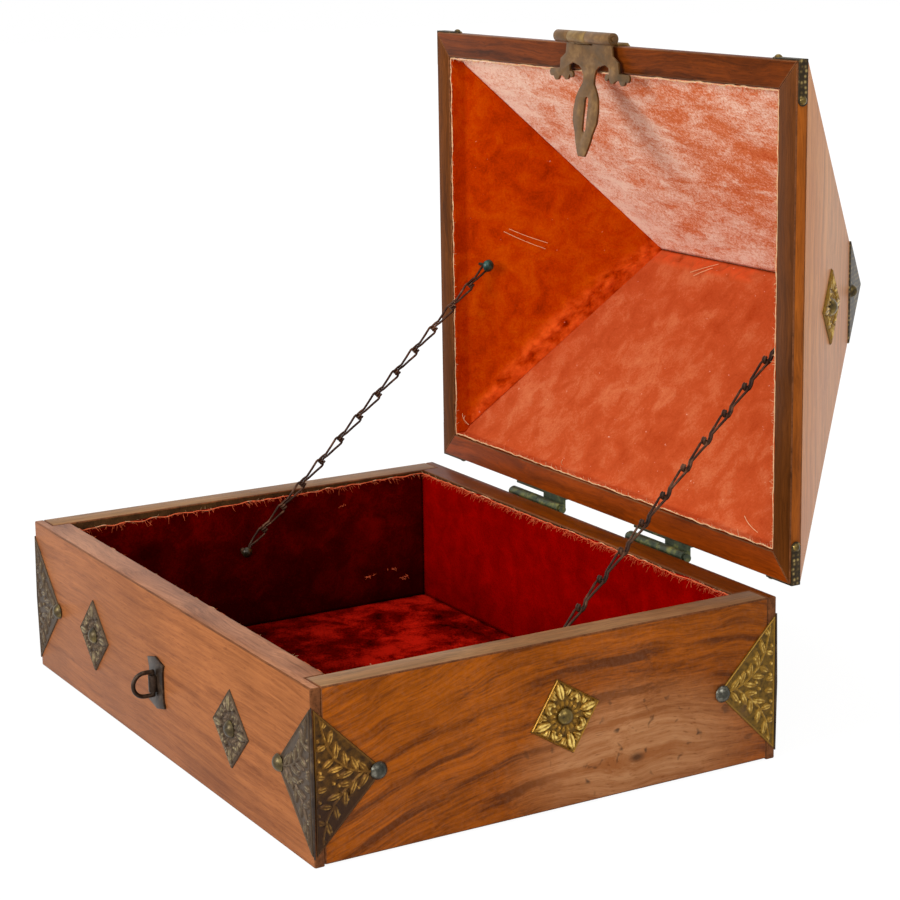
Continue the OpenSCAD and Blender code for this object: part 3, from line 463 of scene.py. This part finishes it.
# Places of the extra finishes in a board's list
WORN, RUBBED_AND_SHADED_RIM, INSIDE = 1, 2, 3
for node, finish, rim in (("front_board", wood_front, wood_rim), ("back_board", wood_back, wood_back_rim_shaded),
                          ("left_side_board", wood_side, wood_side_rim),
                          ("right_side_board", wood_side, wood_side_rim),
                          ("bottom_board", wood_bottom, wood_rim)):
    long_board = node in ("front_board", "back_board")
    board = rounded(node, node + "_turned", "box", [finish, wood_worn, rim, wood_inside_shaded], 0.7 * MM,
                    edge=WORN)
    if node != "bottom_board":
        # Rim faces: rubbed wood on most boards, painted shade on the back board's
        finish_faces(board, RUBBED_AND_SHADED_RIM, lambda n, c: n.z > 0.9)
    # The inner faces take the darker copy of the wood, painted shade
    finish_faces(board, INSIDE, lambda n, c: n.x * c.x + n.y * c.y < -0.05)
    if long_board:
        finish_faces(board, WORN, lambda n, c: n.x * c.x > 0.1)
for node, finish in (("lid_front_rail", wood_rail), ("lid_back_rail", wood_low_rail),
                     ("lid_left_stile", wood_stile), ("lid_right_stile", wood_stile)):
    board = rounded(node, node + "_planed", "lid", [finish, wood_worn, wood_edge], 0.6 * MM,
                    edge=WORN)
    finish_faces(board, RUBBED_AND_SHADED_RIM, lambda n, c: abs(n.x) > 0.9 and n.x * c.x > 0)
for side in ("front", "back", "left", "right"):
    hip = side in ("left", "right")
    node = f"roof_{side}_board"
    rounded(node, node + "_planed", "lid", wood_hip_sheen if hip else wood_slope, 0.3 * MM)


# ---------------------------------------------------------------- velvet
sheets = []
# Creases and ridges of the bunched cloth in a metre, and the bunch's height in mm and how far it varies
CREASES, RIDGES = 42, 170
BUNCH_HIGH, BUNCH_VARIES = 1.5, 1.9


def cloth_panel(name, body, rows, finish, node, board, crumple, face_to, top_wave=0.0, crush=None,
                cell=2.2 * MM):
    """A sheet of velvet glued to a board, given by the two ends of each of its rows, low to high.

    crumple is the height of its creases, top_wave the unevenness of its raw top edge, cell the size of its
    mesh and face_to a point in mm that its pile faces. crush gives how far the cloth is bunched, from its
    place across and up the sheet."""
    seed = len(sheets) + 1
    rows = [(Vector(l) * MM, Vector(r) * MM) for l, r in rows]
    middles = [(l + r) / 2 for l, r in rows]
    steps = [(m1 - m0).length for m0, m1 in zip(middles, middles[1:])]
    widths = [(r - l).length for l, r in rows]
    length, across = sum(steps), max(widths)
    marks = [sum(steps[:i]) / length for i in range(len(rows))]
    bm = bmesh.new()
    n_u, n_v = max(8, int(across / cell)), max(6, int(length / cell))
    bmesh.ops.create_grid(bm, x_segments=n_u, y_segments=n_v, size=0.5)
    crushed, folded = (bm.verts.layers.float.new(k) for k in ("crush", "fold"))
    for vert in bm.verts:
        u, v = vert.co.x + 0.5, vert.co.y + 0.5
        k = max(i for i in range(len(marks) - 1) if v >= marks[i] - 1e-9)
        f = min(1.0, (v - marks[k]) / (marks[k + 1] - marks[k]))
        left, right = rows[k][0].lerp(rows[k + 1][0], f), rows[k][1].lerp(rows[k + 1][1], f)
        spot = left.lerp(right, u)
        out = (rows[k][1] - rows[k][0]).cross(middles[k + 1] - middles[k]).normalized()
        if out.dot(Vector(face_to) * MM - rows[0][0]) < 0:
            out.negate()
        here = (right - left).length
        # The creases die away within 8 mm of the sides and of the top, and 4 mm of the foot
        edge = min(1.0, min(u, 1 - u) * here / 0.008, (1 - v) * length / 0.008, v * length / 0.004)
        wave = noise.fractal((spot + Vector((seed, 0, 0))) * CREASES, 0.9, 2.1, 4)
        height = crumple * MM * wave * edge
        amount = max(0.0, min(1.0, crush(u, v, spot / MM))) if crush else 0.0
        if amount:
            ridges = noise.fractal((spot + Vector((seed, 3, 0))) * RIDGES, 0.9, 2.2, 4)
            height += min(1.0, 2 * amount) * edge * (BUNCH_HIGH * MM + BUNCH_VARIES * MM * ridges)
            vert[folded] = 0.5 + 0.6 * ridges
        spot += out * height
        if top_wave:
            spot.z += top_wave * v * noise.noise(Vector((u * across * 35 + seed, 0, seed)))
        vert[crushed] = amount
        vert.co = spot
    bmesh.ops.remove_doubles(bm, verts=bm.verts, dist=1e-6)
    if body == "lid":
        bm.transform(OPENED)
    made = piece(name, bm, body, finish, node, sharp=180)
    thick = made.modifiers.new("cloth", "SOLIDIFY")
    thick.thickness = 0.7 * MM
    thick.offset = 0
    cut = sum((w0 + w1) / 2 * step for w0, w1, step in zip(widths, widths[1:], steps))
    sheets.append((made, (across, length), cut, board))


# The lid's lining in mm, laid out shut: half width and depth at the rim, half length of its ridge, the
# heights of the rim, of the turn of the slopes and of the ridge
A, B, R = 152.6, 110.6, 80.2
RIM, TURN, RIDGE = 83.0, 89.4, 180.7
# Share of a hip's sheet that is its turn-down at the rim
TURN_DOWN = 0.07


def seam_bunch(u, v, spot):
    """Bunched cloth along the seam to the back slope, 9 mm wide at its ends and 21 mm half way up."""
    if v < TURN_DOWN:
        return 0.0
    seam = B * (1 - (v - TURN_DOWN) / (1 - TURN_DOWN))
    return 1.2 - (seam - spot.y) / (9 + 12 * math.sin(math.pi * min(1.0, v)))


def ridge_bunch(u, v, spot):
    """Bunched cloth under the left part of the ridge."""
    return min((v - 0.93) / 0.04, (0.6 - u) / 0.1)


over_front = [((-A, -B, RIM), (A, -B, RIM)), ((-A, -B, 88.9), (A, -B, 88.9)),
              ((-A - 2.4, -B, TURN), (A + 2.4, -B, TURN)), ((-R, -0.4, RIDGE), (R, -0.4, RIDGE))]
over_back = [((l[0], -l[1], l[2]), (r[0], -r[1], r[2])) for l, r in over_front]
over_right = [((A, -B, RIM), (A, B, RIM)), ((A, -B, TURN), (A, B, TURN)),
              ((A, -106.7, 92.5), (A, 106.7, 92.5)), ((R, -0.4, RIDGE), (R, 0.4, RIDGE))]
over_left = [((-l[0], l[1], l[2]), (-r[0], r[1], r[2])) for l, r in over_right]
for name, rows, finish, crumple, crush in (
        ("front", over_front, velvet_lid_top_sheen, 0.7, None),
        ("back", over_back, velvet_lid_low, 0.5, ridge_bunch),
        ("left", over_left, velvet_lid_left_shaded, 0.45, seam_bunch),
        ("right", over_right, velvet_lid_right, 0.45, None)):
    cloth_panel("lid_velvet_" + name, "lid", rows, finish, f"lid_{name}_lining", f"roof_{name}_board",
                crumple, (0, 0, 88.8), crush=crush, cell=(1.4 if crush else 2.2) * MM)
# The box's lining in mm: half width and depth, the walls' foot and top and the floor's height
W, D, FOOT, TOP, FLOOR = 151.3, 109.3, 6.0, 80.3, 5.6
for name, board, finish, rows in (
        ("left", "left_side_board", velvet_left,
         [((-W, -D, FOOT), (-W, D, FOOT)), ((-W, -D, TOP - 3), (-W, D, TOP))]),
        ("right", "right_side_board", velvet_near,
         [((W, -D, FOOT), (W, D, FOOT)), ((W, -D, TOP), (W, D, TOP))]),
        ("back", "back_board", velvet_back,
         [((-W, D, FOOT), (W, D, FOOT)), ((-W, D, TOP), (W, D, TOP + 0.8))]),
        ("front", "front_board", velvet_near,
         [((-W, -D, FOOT), (W, -D, FOOT)), ((-W, -D, TOP), (W, -D, TOP))]),
        ("floor", "bottom_board", velvet_floor,
         [((-W, -D, FLOOR), (W, -D, FLOOR)), ((-W, D, FLOOR), (W, D, FLOOR))])):
    flat = name == "floor"
    cloth_panel("box_velvet_" + name, "box", rows, finish, f"{name}_lining", board,
                0.6 if flat else 0.4, (0, 0, 40), top_wave=0 if flat else 1.2 * MM)

# Raw edges and loose threads: a pale and a red fringe for each body
chance = random.Random(7)


def tube_from(name, body, lines, finish):
    """Thin threads along lists of points, each point with its radius."""
    curve = bpy.data.curves.new(name, "CURVE")
    curve.dimensions = "3D"
    curve.bevel_depth = 1.0
    curve.bevel_resolution = 0
    curve.use_fill_caps = True
    for line in lines:
        spline = curve.splines.new("POLY")
        spline.points.add(len(line) - 1)
        for point, (spot, radius) in zip(spline.points, line):
            point.co = (*spot, 1)
            point.radius = radius
    holder = bpy.data.objects.new(name + "_line", curve)
    mesh = bpy.data.meshes.new_from_object(holder)
    bm = bmesh.new()
    bm.from_mesh(mesh)
    bpy.data.objects.remove(holder)
    bpy.data.curves.remove(curve)
    return piece(name, bm, body, finish, sharp=60)


def raw_edge(start, end, inward, thick, wander):
    """The rolled raw edge of a sheet between two points, uneven in width."""
    start, end = Vector(start), Vector(end)
    line = []
    for i in range(EDGE_STEPS + 1):
        f = i / EDGE_STEPS
        spot = start.lerp(end, f)
        spot += Vector(inward) * wander * noise.noise(spot * 160)
        line.append((spot, thick * (0.75 + 0.55 * noise.noise(spot * 520 + Vector((5, 5, 5))))))
    return line


def loose_threads(start, end, lean, spread, count, reach, thick=0.11 * MM, least=-1.0, most=1.0):
    """Threads that stand out from a raw edge, leaning one way and scattered.

    They lie between two heights, so that the rims press them flat when the box is shut."""
    start, end, lean = Vector(start), Vector(end), Vector(lean)
    lines = []
    for _ in range(count):
        spot = start.lerp(end, chance.random())
        way = (lean + Vector([chance.uniform(-spread, spread) for _ in range(3)])).normalized()
        curl = Vector([chance.uniform(-0.5, 0.5) for _ in range(3)])
        length = reach * chance.uniform(0.3, 1.0) ** 1.6
        line = []
        for i in range(4):
            f = i / 3
            point = spot + way * length * f + curl * length * f * f * 0.5
            point.z = min(max(point.z, least), most)
            line.append((point, thick * (1 - 0.6 * f)))
        lines.append(line)
    return lines


# Heights that the threads of the lid stay over and those of the box stay under
OVER_RIM, UNDER_RIM = 82.5 * MM, 82.2 * MM
# Steps along a raw edge
EDGE_STEPS = 220
rim_z = (RIM + 0.1) * MM
a, b = A * MM, B * MM
rim_corners = [(-a, -b), (a, -b), (a, b), (-a, b)]
lid_lines, lid_red = [], []
for i in range(4):
    (x0, y0), (x1, y1) = rim_corners[i], rim_corners[(i + 1) % 4]
    inward = Vector((-(x0 + x1), -(y0 + y1), 0)).normalized()
    p0, p1 = Vector((x0, y0, rim_z)), Vector((x1, y1, rim_z))
    lid_lines.append(raw_edge(p0, p1, inward, 0.5 * MM, 0.7 * MM))
    lid_lines += loose_threads(p0, p1, inward * 0.8 + Vector((0, 0, -0.5)), 0.7, 150, 3.2 * MM,
                               least=OVER_RIM)
    lid_red += loose_threads(p0, p1, inward + Vector((0, 0, -0.2)), 0.6, 90, 2.6 * MM, least=OVER_RIM)
# Single threads that lie on the lining: their start and their run, in mm
for spot, way in (((-40, 7.5, 172), (19, -6.5, 5.5)), ((-36, 9, 171), (14, -6, 3.5)),
                  ((-40, 108, 86), (6, -5, -4)), ((-146, 104, 86), (4, -6, -3)),
                  ((-143, 104, 86), (-2, -7, -3)), ((138, 106, 85), (-8, -7, -2)),
                  ((-137, -10, 108), (15.5, 10, 19)), ((-135, -11.5, 110.5), (14.5, 8, 17.5))):
    spot, way = Vector(spot) * MM, Vector(way) * MM
    lid_lines.append([(spot + way * f + Vector((0, 0, -1.2 * MM * math.sin(3 * f))), 0.16 * MM)
                      for f in (0, 0.25, 0.5, 0.75, 1)])


def swung(lines):
    return [[(OPENED @ spot, radius) for spot, radius in line] for line in lines]


# The fringes, by the sheet that they belong to
fringes = {"lid_velvet_back": [
    tube_from("lid_raw_edge", "lid", swung(lid_lines), raw_thread),
    tube_from("lid_red_threads", "lid", swung(lid_red), red_thread)]}
w, d, top = W * MM, D * MM, TOP * MM
box_lines, box_red = [], []
for p0, p1, inward, dense in (((-w, -d, top - 3 * MM), (-w, d, top), (1, 0, 0), 0.8),
                              ((-w, d, top), (w, d, top + 0.8 * MM), (0, -1, 0), 2.2),
                              ((w, d, top), (w, -d, top), (-1, 0, 0), 0.15),
                              ((w, -d, top), (-w, -d, top), (0, 1, 0), 0.15)):
    inward = Vector(inward)
    edge = Vector(p0) + inward * 0.5 * MM, Vector(p1) + inward * 0.5 * MM
    box_lines.append(raw_edge(*edge, (0, 0, 1), 0.26 * MM, 1.3 * MM))
    box_red.append(raw_edge(*edge, (0, 0, 1), 0.42 * MM, 1.0 * MM))
    box_lines += loose_threads(p0, p1, inward * 0.8 + Vector((0, 0, 0.4)), 0.7, int(130 * dense), 2.6 * MM,
                               0.08 * MM, most=UNDER_RIM)
    box_red += loose_threads(p0, p1, inward * 0.7 + Vector((0.2, 0, -0.8)), 0.8, int(300 * dense), 4.6 * MM,
                             0.12 * MM, most=UNDER_RIM)
# Pulled threads on the left wall: how far back and up in mm, and how many
for y, z, pulled in ((69, 23, 16), (92, 19, 18), (84, 25, 8), (52, 68, 8)):
    spot = Vector((-w + 0.4 * MM, y * MM, z * MM))
    box_red += loose_threads(spot, spot + Vector((0, 6 * MM, 0)), (0.5, 0, 0), 0.9, pulled, 3.4 * MM,
                             0.14 * MM)
fringes["box_velvet_back"] = [tube_from("box_raw_edge", "box", box_lines, raw_thread),
                              tube_from("box_red_threads", "box", box_red, red_thread)]


# ---------------------------------------------------------------- pressed brass plates
def berry(x, y, cx, cy, radius, high):
    """Height of a round berry."""
    return high * np.sqrt(np.clip(1 - ((x - cx) / radius) ** 2 - ((y - cy) / radius) ** 2, 0, 1))


def leaf(x, y, x0, y0, turn, long, wide, high):
    """A pointed leaf that starts at a point and has a groove along its middle."""
    c, s = math.cos(turn), math.sin(turn)
    u, v = ((x - x0) * c + (y - y0) * s) / long, (-(x - x0) * s + (y - y0) * c)
    half = wide * np.sin(np.pi * np.clip(u, 0, 1)) ** 0.8
    body = np.where((u > 0) & (u < 1), np.clip(1 - (v / np.maximum(half, 1e-9)) ** 2, 0, 1), 0)
    return high * np.sqrt(body) * (1 - 0.45 * np.exp(-(v / (0.22 * wide)) ** 2))


def stem(x, y, points, wide, high):
    """A raised stem along a run of points."""
    best = np.full_like(x, 1e9)
    for (x0, y0), (x1, y1) in zip(points, points[1:]):
        dx, dy = x1 - x0, y1 - y0
        f = np.clip(((x - x0) * dx + (y - y0) * dy) / (dx * dx + dy * dy), 0, 1)
        best = np.minimum(best, np.hypot(x - x0 - f * dx, y - y0 - f * dy))
    return high * np.sqrt(np.clip(1 - (best / wide) ** 2, 0, 1))


def branch_relief(x, y):
    """Ivy branch on a half-diamond plate: the corner at x = 0, the nail at the far end. Sizes in mm."""
    h = np.zeros_like(x)
    for points in ([(31, 0), (24, 1), (17, 4), (11, 9), (7, 16), (4.5, 25), (3.5, 32)],
                   [(24, 1), (16, -5), (10, -11), (6, -18), (4, -27)]):
        h = np.maximum(h, stem(x, y, points, 0.6, 0.75))
    # Leaves: foot, turn and length; then berries
    for px, py, turn, long in (
            (27, 0.6, 2.3, 6.5), (27, 0.2, -2.2, 6.5), (22, 2, 2.0, 7), (20, 2.6, 3.4, 7.5),
            (21, -1.2, -2.0, 7), (19, -2.6, 3.2, 6), (16, 4.5, 1.7, 7), (15, 5.4, 3.3, 7),
            (15.5, -5.4, -1.6, 7), (14, -6.6, 3.4, 7), (11, 9, 1.5, 7.5), (10.4, 9.8, 3.7, 6),
            (10, -11, -1.4, 7), (9, -12, 3.0, 5.5), (7.4, 15.5, 1.3, 7), (6.6, 16.5, 3.5, 4.5),
            (6, -18, -1.3, 7), (5.4, -19, 2.9, 4), (4.8, 24, 1.1, 6.5), (4.2, -26, -1.2, 6),
            (6, 2, 3.0, 5), (7, -3, 3.3, 5)):
        h = np.maximum(h, leaf(x, y, px, py, turn, long * 1.15, 1.65, 1.0))
    for px, py in ((12, 2), (10, -1.5), (12.5, -3), (17, 8.4), (13, 14), (9, 21), (16.5, -10), (12, -16),
                   (8, -23), (3, 10), (3, -9), (3.4, 4.5), (2.8, 19), (2.4, -15), (22, 6.4), (22, -5.8)):
        h = np.maximum(h, berry(x, y, px, py, 1.05, 0.95))
    return h


def rosette_relief(x, y):
    """Square plate with a ribbed ring, a broad leaf in each corner and scrolls between. Sizes in mm."""
    radius, turn = np.hypot(x, y), np.arctan2(y, x)
    h = 0.8 * np.exp(-((radius - 6.2) / 1.3) ** 2) * (0.5 + 0.5 * np.cos(16 * turn))
    for k in range(4):
        q = math.pi / 4 + k * math.pi / 2
        c, s = math.cos(q), math.sin(q)
        h = np.maximum(h, leaf(x, y, 7.8 * c, 7.8 * s, q, 9.6, 2.3, 1.15))
        for side in (-1, 1):
            for out, off, lean, long, wide in ((9.4, 2.2, 0.75, 6.0, 1.7), (8.2, 3.6, 1.5, 5.4, 1.5),
                                               (12.8, 2.4, 0.9, 3.6, 1.3)):
                px, py = out * c - side * off * s, out * s + side * off * c
                h = np.maximum(h, leaf(x, y, px, py, q + side * lean, long, wide, 1.0))
        q = k * math.pi / 2
        c, s = math.cos(q), math.sin(q)
        for out, off, size in ((10.6, 0, 1.3), (8.6, 1.9, 0.9), (8.6, -1.9, 0.9)):
            h = np.maximum(h, berry(x, y, out * c - off * s, out * s + off * c, size, 1.1))
    return h


# Mesh step, thickness and width of the rolled edge of a plate, in mm
PLATE_STEP, PLATE_LIFT, PLATE_BORDER = 0.42, 0.35, 0.9


def row_by_row(spot):
    """A number that puts the points of a plate in order."""
    return 1000 * round(spot.x, 3) + spot.y + spot.z / 1000


def pressed_plate(bm_into, outline, relief, place, height=1.0, flip=False):
    """Adds a pressed plate to a bmesh. The outline goes round a convex shape in mm, on its own plane."""
    bm = bmesh.new()
    xs, ys = [p[0] for p in outline], [p[1] for p in outline]
    wide, tall = max(xs) - min(xs), max(ys) - min(ys)
    bmesh.ops.create_grid(bm, x_segments=int(wide / PLATE_STEP), y_segments=int(tall / PLATE_STEP),
                          size=0.5)
    mid = Vector(((max(xs) + min(xs)) / 2, (max(ys) + min(ys)) / 2, 0))
    bmesh.ops.scale(bm, vec=(wide, tall, 1), verts=bm.verts)
    bmesh.ops.translate(bm, vec=mid, verts=bm.verts)
    centre = Vector((sum(xs) / len(xs), sum(ys) / len(ys), 0))
    walls = []
    for (x0, y0), (x1, y1) in zip(outline, outline[1:] + outline[:1]):
        out = Vector((y1 - y0, x0 - x1, 0)).normalized()
        if out.dot(Vector((x0, y0, 0)) - centre) < 0:
            out.negate()
        bmesh.ops.bisect_plane(bm, geom=bm.verts[:] + bm.edges[:] + bm.faces[:], plane_co=(x0, y0, 0),
                               plane_no=out, clear_outer=True)
        walls.append((x0, y0, out.x, out.y))
    bmesh.ops.remove_doubles(bm, verts=bm.verts, dist=0.02)
    x = np.array([v.co.x for v in bm.verts])
    y = np.array([v.co.y for v in bm.verts])
    inside = np.full_like(x, 1e9)
    for x0, y0, ox, oy in walls:
        inside = np.minimum(inside, (x0 - x) * ox + (y0 - y) * oy)
    ornament = relief(x, y) * np.clip((inside - PLATE_BORDER) / 0.6, 0, 1)
    rolled = 0.55 * np.exp(-((inside - PLATE_BORDER * 0.55) / (PLATE_BORDER * 0.4)) ** 2)
    level = np.maximum(ornament, rolled)
    layer = bm.verts.layers.float.new("relief")
    for vert, up in zip(bm.verts, level):
        vert[layer] = float(up)
        vert.co.z = PLATE_LIFT + height * float(up)
    rim = [e for e in bm.edges if e.is_boundary]
    skirt = bmesh.ops.extrude_edge_only(bm, edges=rim)
    for vert in [g for g in skirt["geom"] if isinstance(g, bmesh.types.BMVert)]:
        vert.co.z = 0.02
    # Cutting leaves the faces in a chance order, so they are put in order of place
    bm.faces.sort(key=lambda f: row_by_row(f.calc_center_median()))
    bm.transform(place @ Matrix.Scale(MM, 4))
    if flip:
        bmesh.ops.reverse_faces(bm, faces=bm.faces)
    mesh = meshed("plate", bm)
    bm_into.from_mesh(mesh)
    bpy.data.meshes.remove(mesh)


# One half of a corner plate, on the right face; the front face's half is its mirror image. It starts beside
# the rolled fold and ends short of the fold's tips, by so many mm
BESIDE_FOLD, SHORT_OF_TIP = 0.9, 1.8
half_h = CORNER_H / MM / 2 - SHORT_OF_TIP
leaf_outline = [(BESIDE_FOLD, -half_h), (CORNER_REACH / MM, 0), (BESIDE_FOLD, half_h)]
corner_spot = Matrix.Translation((HALF_W, -HALF_D, CORNER_MID))
side_leaf = corner_spot @ RIGHT_FACE
front_leaf = corner_spot @ FRONT_FACE @ MIRROR_X


def rolled_spine(bm, flips):
    """The fold over the corner: a round bar, partly sunk in, that narrows to its ends."""
    place = flips @ Matrix.Translation((HALF_W + 0.05 * MM, -HALF_D - 0.05 * MM, CORNER_MID))
    for way in (-1, 1):
        made = bmesh.ops.create_cone(bm, cap_ends=True, segments=20, radius1=0.9 * MM, radius2=0.4 * MM,
                                     depth=CORNER_H / 2 - 1 * MM)
        turn = Matrix.Rotation(0 if way > 0 else math.pi, 4, "X")
        bmesh.ops.transform(bm, matrix=place @ turn @ Matrix.Translation((0, 0, CORNER_H / 4 - 0.5 * MM)),
                            verts=made["verts"])


for name, flips, turned, near_finish in (
        ("corner_plate_front_right", Matrix.Identity(4), False, brass_near),
        ("corner_plate_front_left", MIRROR_X, True, brass_side),
        ("corner_plate_back_right", MIRROR_Y, True, brass_side),
        ("corner_plate_back_left", MIRROR_X @ MIRROR_Y, False, brass_side)):
    bm = bmesh.new()
    pressed_plate(bm, leaf_outline, branch_relief, flips @ side_leaf, flip=turned)
    side_faces = len(bm.faces)
    pressed_plate(bm, leaf_outline, branch_relief, flips @ front_leaf, flip=not turned)
    bm.faces.ensure_lookup_table()
    for face in bm.faces[side_faces:]:
        face.material_index = 1
    leaf_faces = len(bm.faces)
    rolled_spine(bm, flips)
    bm.faces.ensure_lookup_table()
    for face in bm.faces[leaf_faces:]:
        face.material_index = 2
    piece(name + "_pressed", bm, "box", [near_finish, brass_front, spine_metal], name,
          sharp=50)

# Half the side of a rosette plate, in mm
ROSETTE = 13.5
square = [(-ROSETTE, -ROSETTE), (ROSETTE, -ROSETTE), (ROSETTE, ROSETTE), (-ROSETTE, ROSETTE)]
on_point = Matrix.Rotation(math.radians(45), 4, "Z")
# The right side's rosette hangs askew
askew = Matrix.Rotation(math.radians(58), 4, "Z")
on_side = at(167, 4, 45) @ RIGHT_FACE
on_hip = RIGHT_SLOPE @ at(0, 60, 0) @ on_point
for name, place, finish, body, turned in (
        ("front_rosette_left", at(-84, -125, 39) @ FRONT_FACE @ on_point, brass_front, "box", False),
        ("front_rosette_right", at(84, -125, 39) @ FRONT_FACE @ on_point, brass_front, "box", False),
        ("side_rosette_right", on_side @ askew, brass_gilt, "box", False),
        ("side_rosette_left", MIRROR_X @ on_side @ on_point, brass_gilt, "box", True),
        ("lid_rosette_right", on_hip, brass_side, "lid", False),
        ("lid_rosette_left", MIRROR_X @ on_hip, brass_side, "lid", True)):
    bm = bmesh.new()
    pressed_plate(bm, square, rosette_relief, place, flip=turned, height=1.3)
    piece(name + "_pressed", bm, body, finish, name, sharp=50)

# ---------------------------------------------------------------- fittings that keep their shape
for node, body, finish, width, slot in (
        ("hasp_leaf", "hasp_leaf", hasp_metal, 0.3, "dark_brass"),
        ("hasp_fixed_leaf", "lid", hasp_plate_metal, 0.25, "dark_brass"),
        ("staple_plate", "box", staple_metal, 0.25, "dark_brass"),
        *((f"{body}_hinge_leaf_{side}", body, hinge_metal, 0.25, "green_brass")
          for body in ("box", "lid") for side in ("left", "right")),
        ("ridge_cap_left", "lid", strap_metal, 0.2, "brass_plate"),
        ("ridge_cap_right", "lid", strap_metal, 0.2, "brass_plate"),
        ("lid_rim_straps", "lid", strap_metal, 0.2, "brass_plate")):
    rounded(node, node + "_worked", body, finish, width * MM)
for node, body, finish in (
        ("box_brass_nails", "box", [nail_metal, steel_metal, dull_metal]),
        ("lid_brass_nails", "lid", nail_metal), ("box_chain_nails", "box", box_nail_metal),
        ("lid_chain_nails", "lid", teal_metal), ("hinge_pin_left", "box", hinge_metal),
        ("hinge_pin_right", "box", hinge_metal), ("hasp_pin", "lid", hasp_metal),
        ("staple_loop", "staple_loop", staple_metal), ("box_hinge_screws", "box", hinge_metal),
        ("lid_hinge_screws", "lid", hinge_metal)):
    slot = "dark_brass" if node == "staple_loop" else "brass_nail"
    made = piece(node + "_smooth", copied(node), body, finish, node, sharp=40)
    if node == "box_brass_nails":
        # The corner plates' nails have lost their brass on the right face, and the front's nails are dull
        STEEL, DULL = 1, 2
        finish_faces(made, STEEL, lambda n, c: c.x > 165 * MM and abs(c.y) > 60 * MM)
        finish_faces(made, DULL, lambda n, c: c.y < -124 * MM)
for side in ("left", "right"):
    for part in range(1, 4):
        node = f"chain_{side}_{part}"
        piece(node + "_wire", copied(node, flat=False), node, chain_metal, node, sharp=75)

# ---------------------------------------------------------------- floor, light and camera
def seen(tree):
    """1 for rays that the eye follows, straight, in gloss or through glass; 0 for scattered light."""
    path = add(tree, "ShaderNodeLightPath").outputs
    straight = sums(tree, "MAXIMUM", path["Is Camera Ray"], path["Is Glossy Ray"])
    return sums(tree, "MAXIMUM", straight, path["Is Transmission Ray"])


# Half the floor's width in metres, its glow to the eye and the sky's strength for scattered light
HALF_FLOOR, FLOOR_GLOW, SKY_FILL = 6, 1.07, 0.42
bm = bmesh.new()
bmesh.ops.create_grid(bm, x_segments=1, y_segments=1, size=HALF_FLOOR)
floor = placed("floor", meshed("floor", bm))
paper = bpy.data.materials.new("white_paper_floor")
paper.use_nodes = True
tree = paper.node_tree
tree.nodes.clear()
# Seen by the camera and in gloss the paper is nearly white; it keeps a trace of the shadow near the box
card = add(tree, "ShaderNodeBsdfDiffuse", {"Color": paint("#F2F1EF")})
glow = add(tree, "ShaderNodeEmission", {"Color": (1, 1, 1, 1), "Strength": FLOOR_GLOW})
out_from_box = vectors(tree, "LENGTH", object_place(tree))
share = sums(tree, "MULTIPLY", seen(tree), ranged(tree, out_from_box, 0.25, 0.7, 0.88, 1.0))
both = add(tree, "ShaderNodeMixShader", {0: share, 1: card.outputs[0], 2: glow.outputs[0]})
add(tree, "ShaderNodeOutputMaterial", {"Surface": both.outputs[0]})
floor.data.materials.append(paper)

world = bpy.data.worlds.new("studio")
scene.world = world
world.use_nodes = True
tree = world.node_tree
tree.nodes.clear()
level = ranged(tree, seen(tree), 0.0, 1.0, SKY_FILL, 1.0)
sky = add(tree, "ShaderNodeBackground", {"Color": (1, 1, 1, 1), "Strength": level})
add(tree, "ShaderNodeOutputWorld", {"Surface": sky.outputs[0]})


def softbox(name, spot, aim, size, watts):
    lamp = bpy.data.lights.new(name, "AREA")
    lamp.shape = "RECTANGLE"
    lamp.size, lamp.size_y = size
    lamp.energy = watts
    holder = placed(name, lamp)
    holder.location = spot
    holder.rotation_euler = (Vector(aim) - Vector(spot)).to_track_quat("-Z", "Y").to_euler()


softbox("key_softbox", (0.25, -1.7, 0.75), (0, 0, 0.15), (0.7, 0.7), 22)
softbox("side_softbox", (1.6, -0.7, 1.5), (0, 0, 0.1), (1.2, 1.2), 14)
softbox("top_softbox", (-0.3, 0.1, 2.0), (0, 0, 0), (1.4, 1.4), 10)

# The camera: its angles, its place in mm out from the box, to the right and up, and its lens and shifts in
# pixels of a 900-pixel picture
AZIMUTH, ELEVATION, ROLL = 1.03261, 0.208734, -0.0123664
OUT, ASIDE, ABOVE = 1220.507, 56.604, 159.672
SENSOR, PICTURE, FOCAL, SHIFT_X, SHIFT_Y = 36, 900, 2346.05, -40, -50
back = Vector((math.sin(AZIMUTH) * math.cos(ELEVATION), -math.cos(AZIMUTH) * math.cos(ELEVATION),
               math.sin(ELEVATION)))
right = (-back).cross(Vector((0, 0, 1))).normalized()
up = right.cross(-back)
spot = (back * OUT + right * ASIDE + up * ABOVE) * MM
c, s = math.cos(ROLL), math.sin(ROLL)
right, up = c * right + s * up, -s * right + c * up
view = bpy.data.cameras.new("view")
view.sensor_width = SENSOR
view.lens = SENSOR * FOCAL / PICTURE
view.shift_x, view.shift_y = SHIFT_X / PICTURE, SHIFT_Y / PICTURE
view.clip_start, view.clip_end = 0.05, 20
camera = placed("view", view)
camera.matrix_world = Matrix.Translation(spot) @ Matrix((right, up, back)).transposed().to_4x4()
scene.camera = camera
scene.view_settings.view_transform = "Standard"
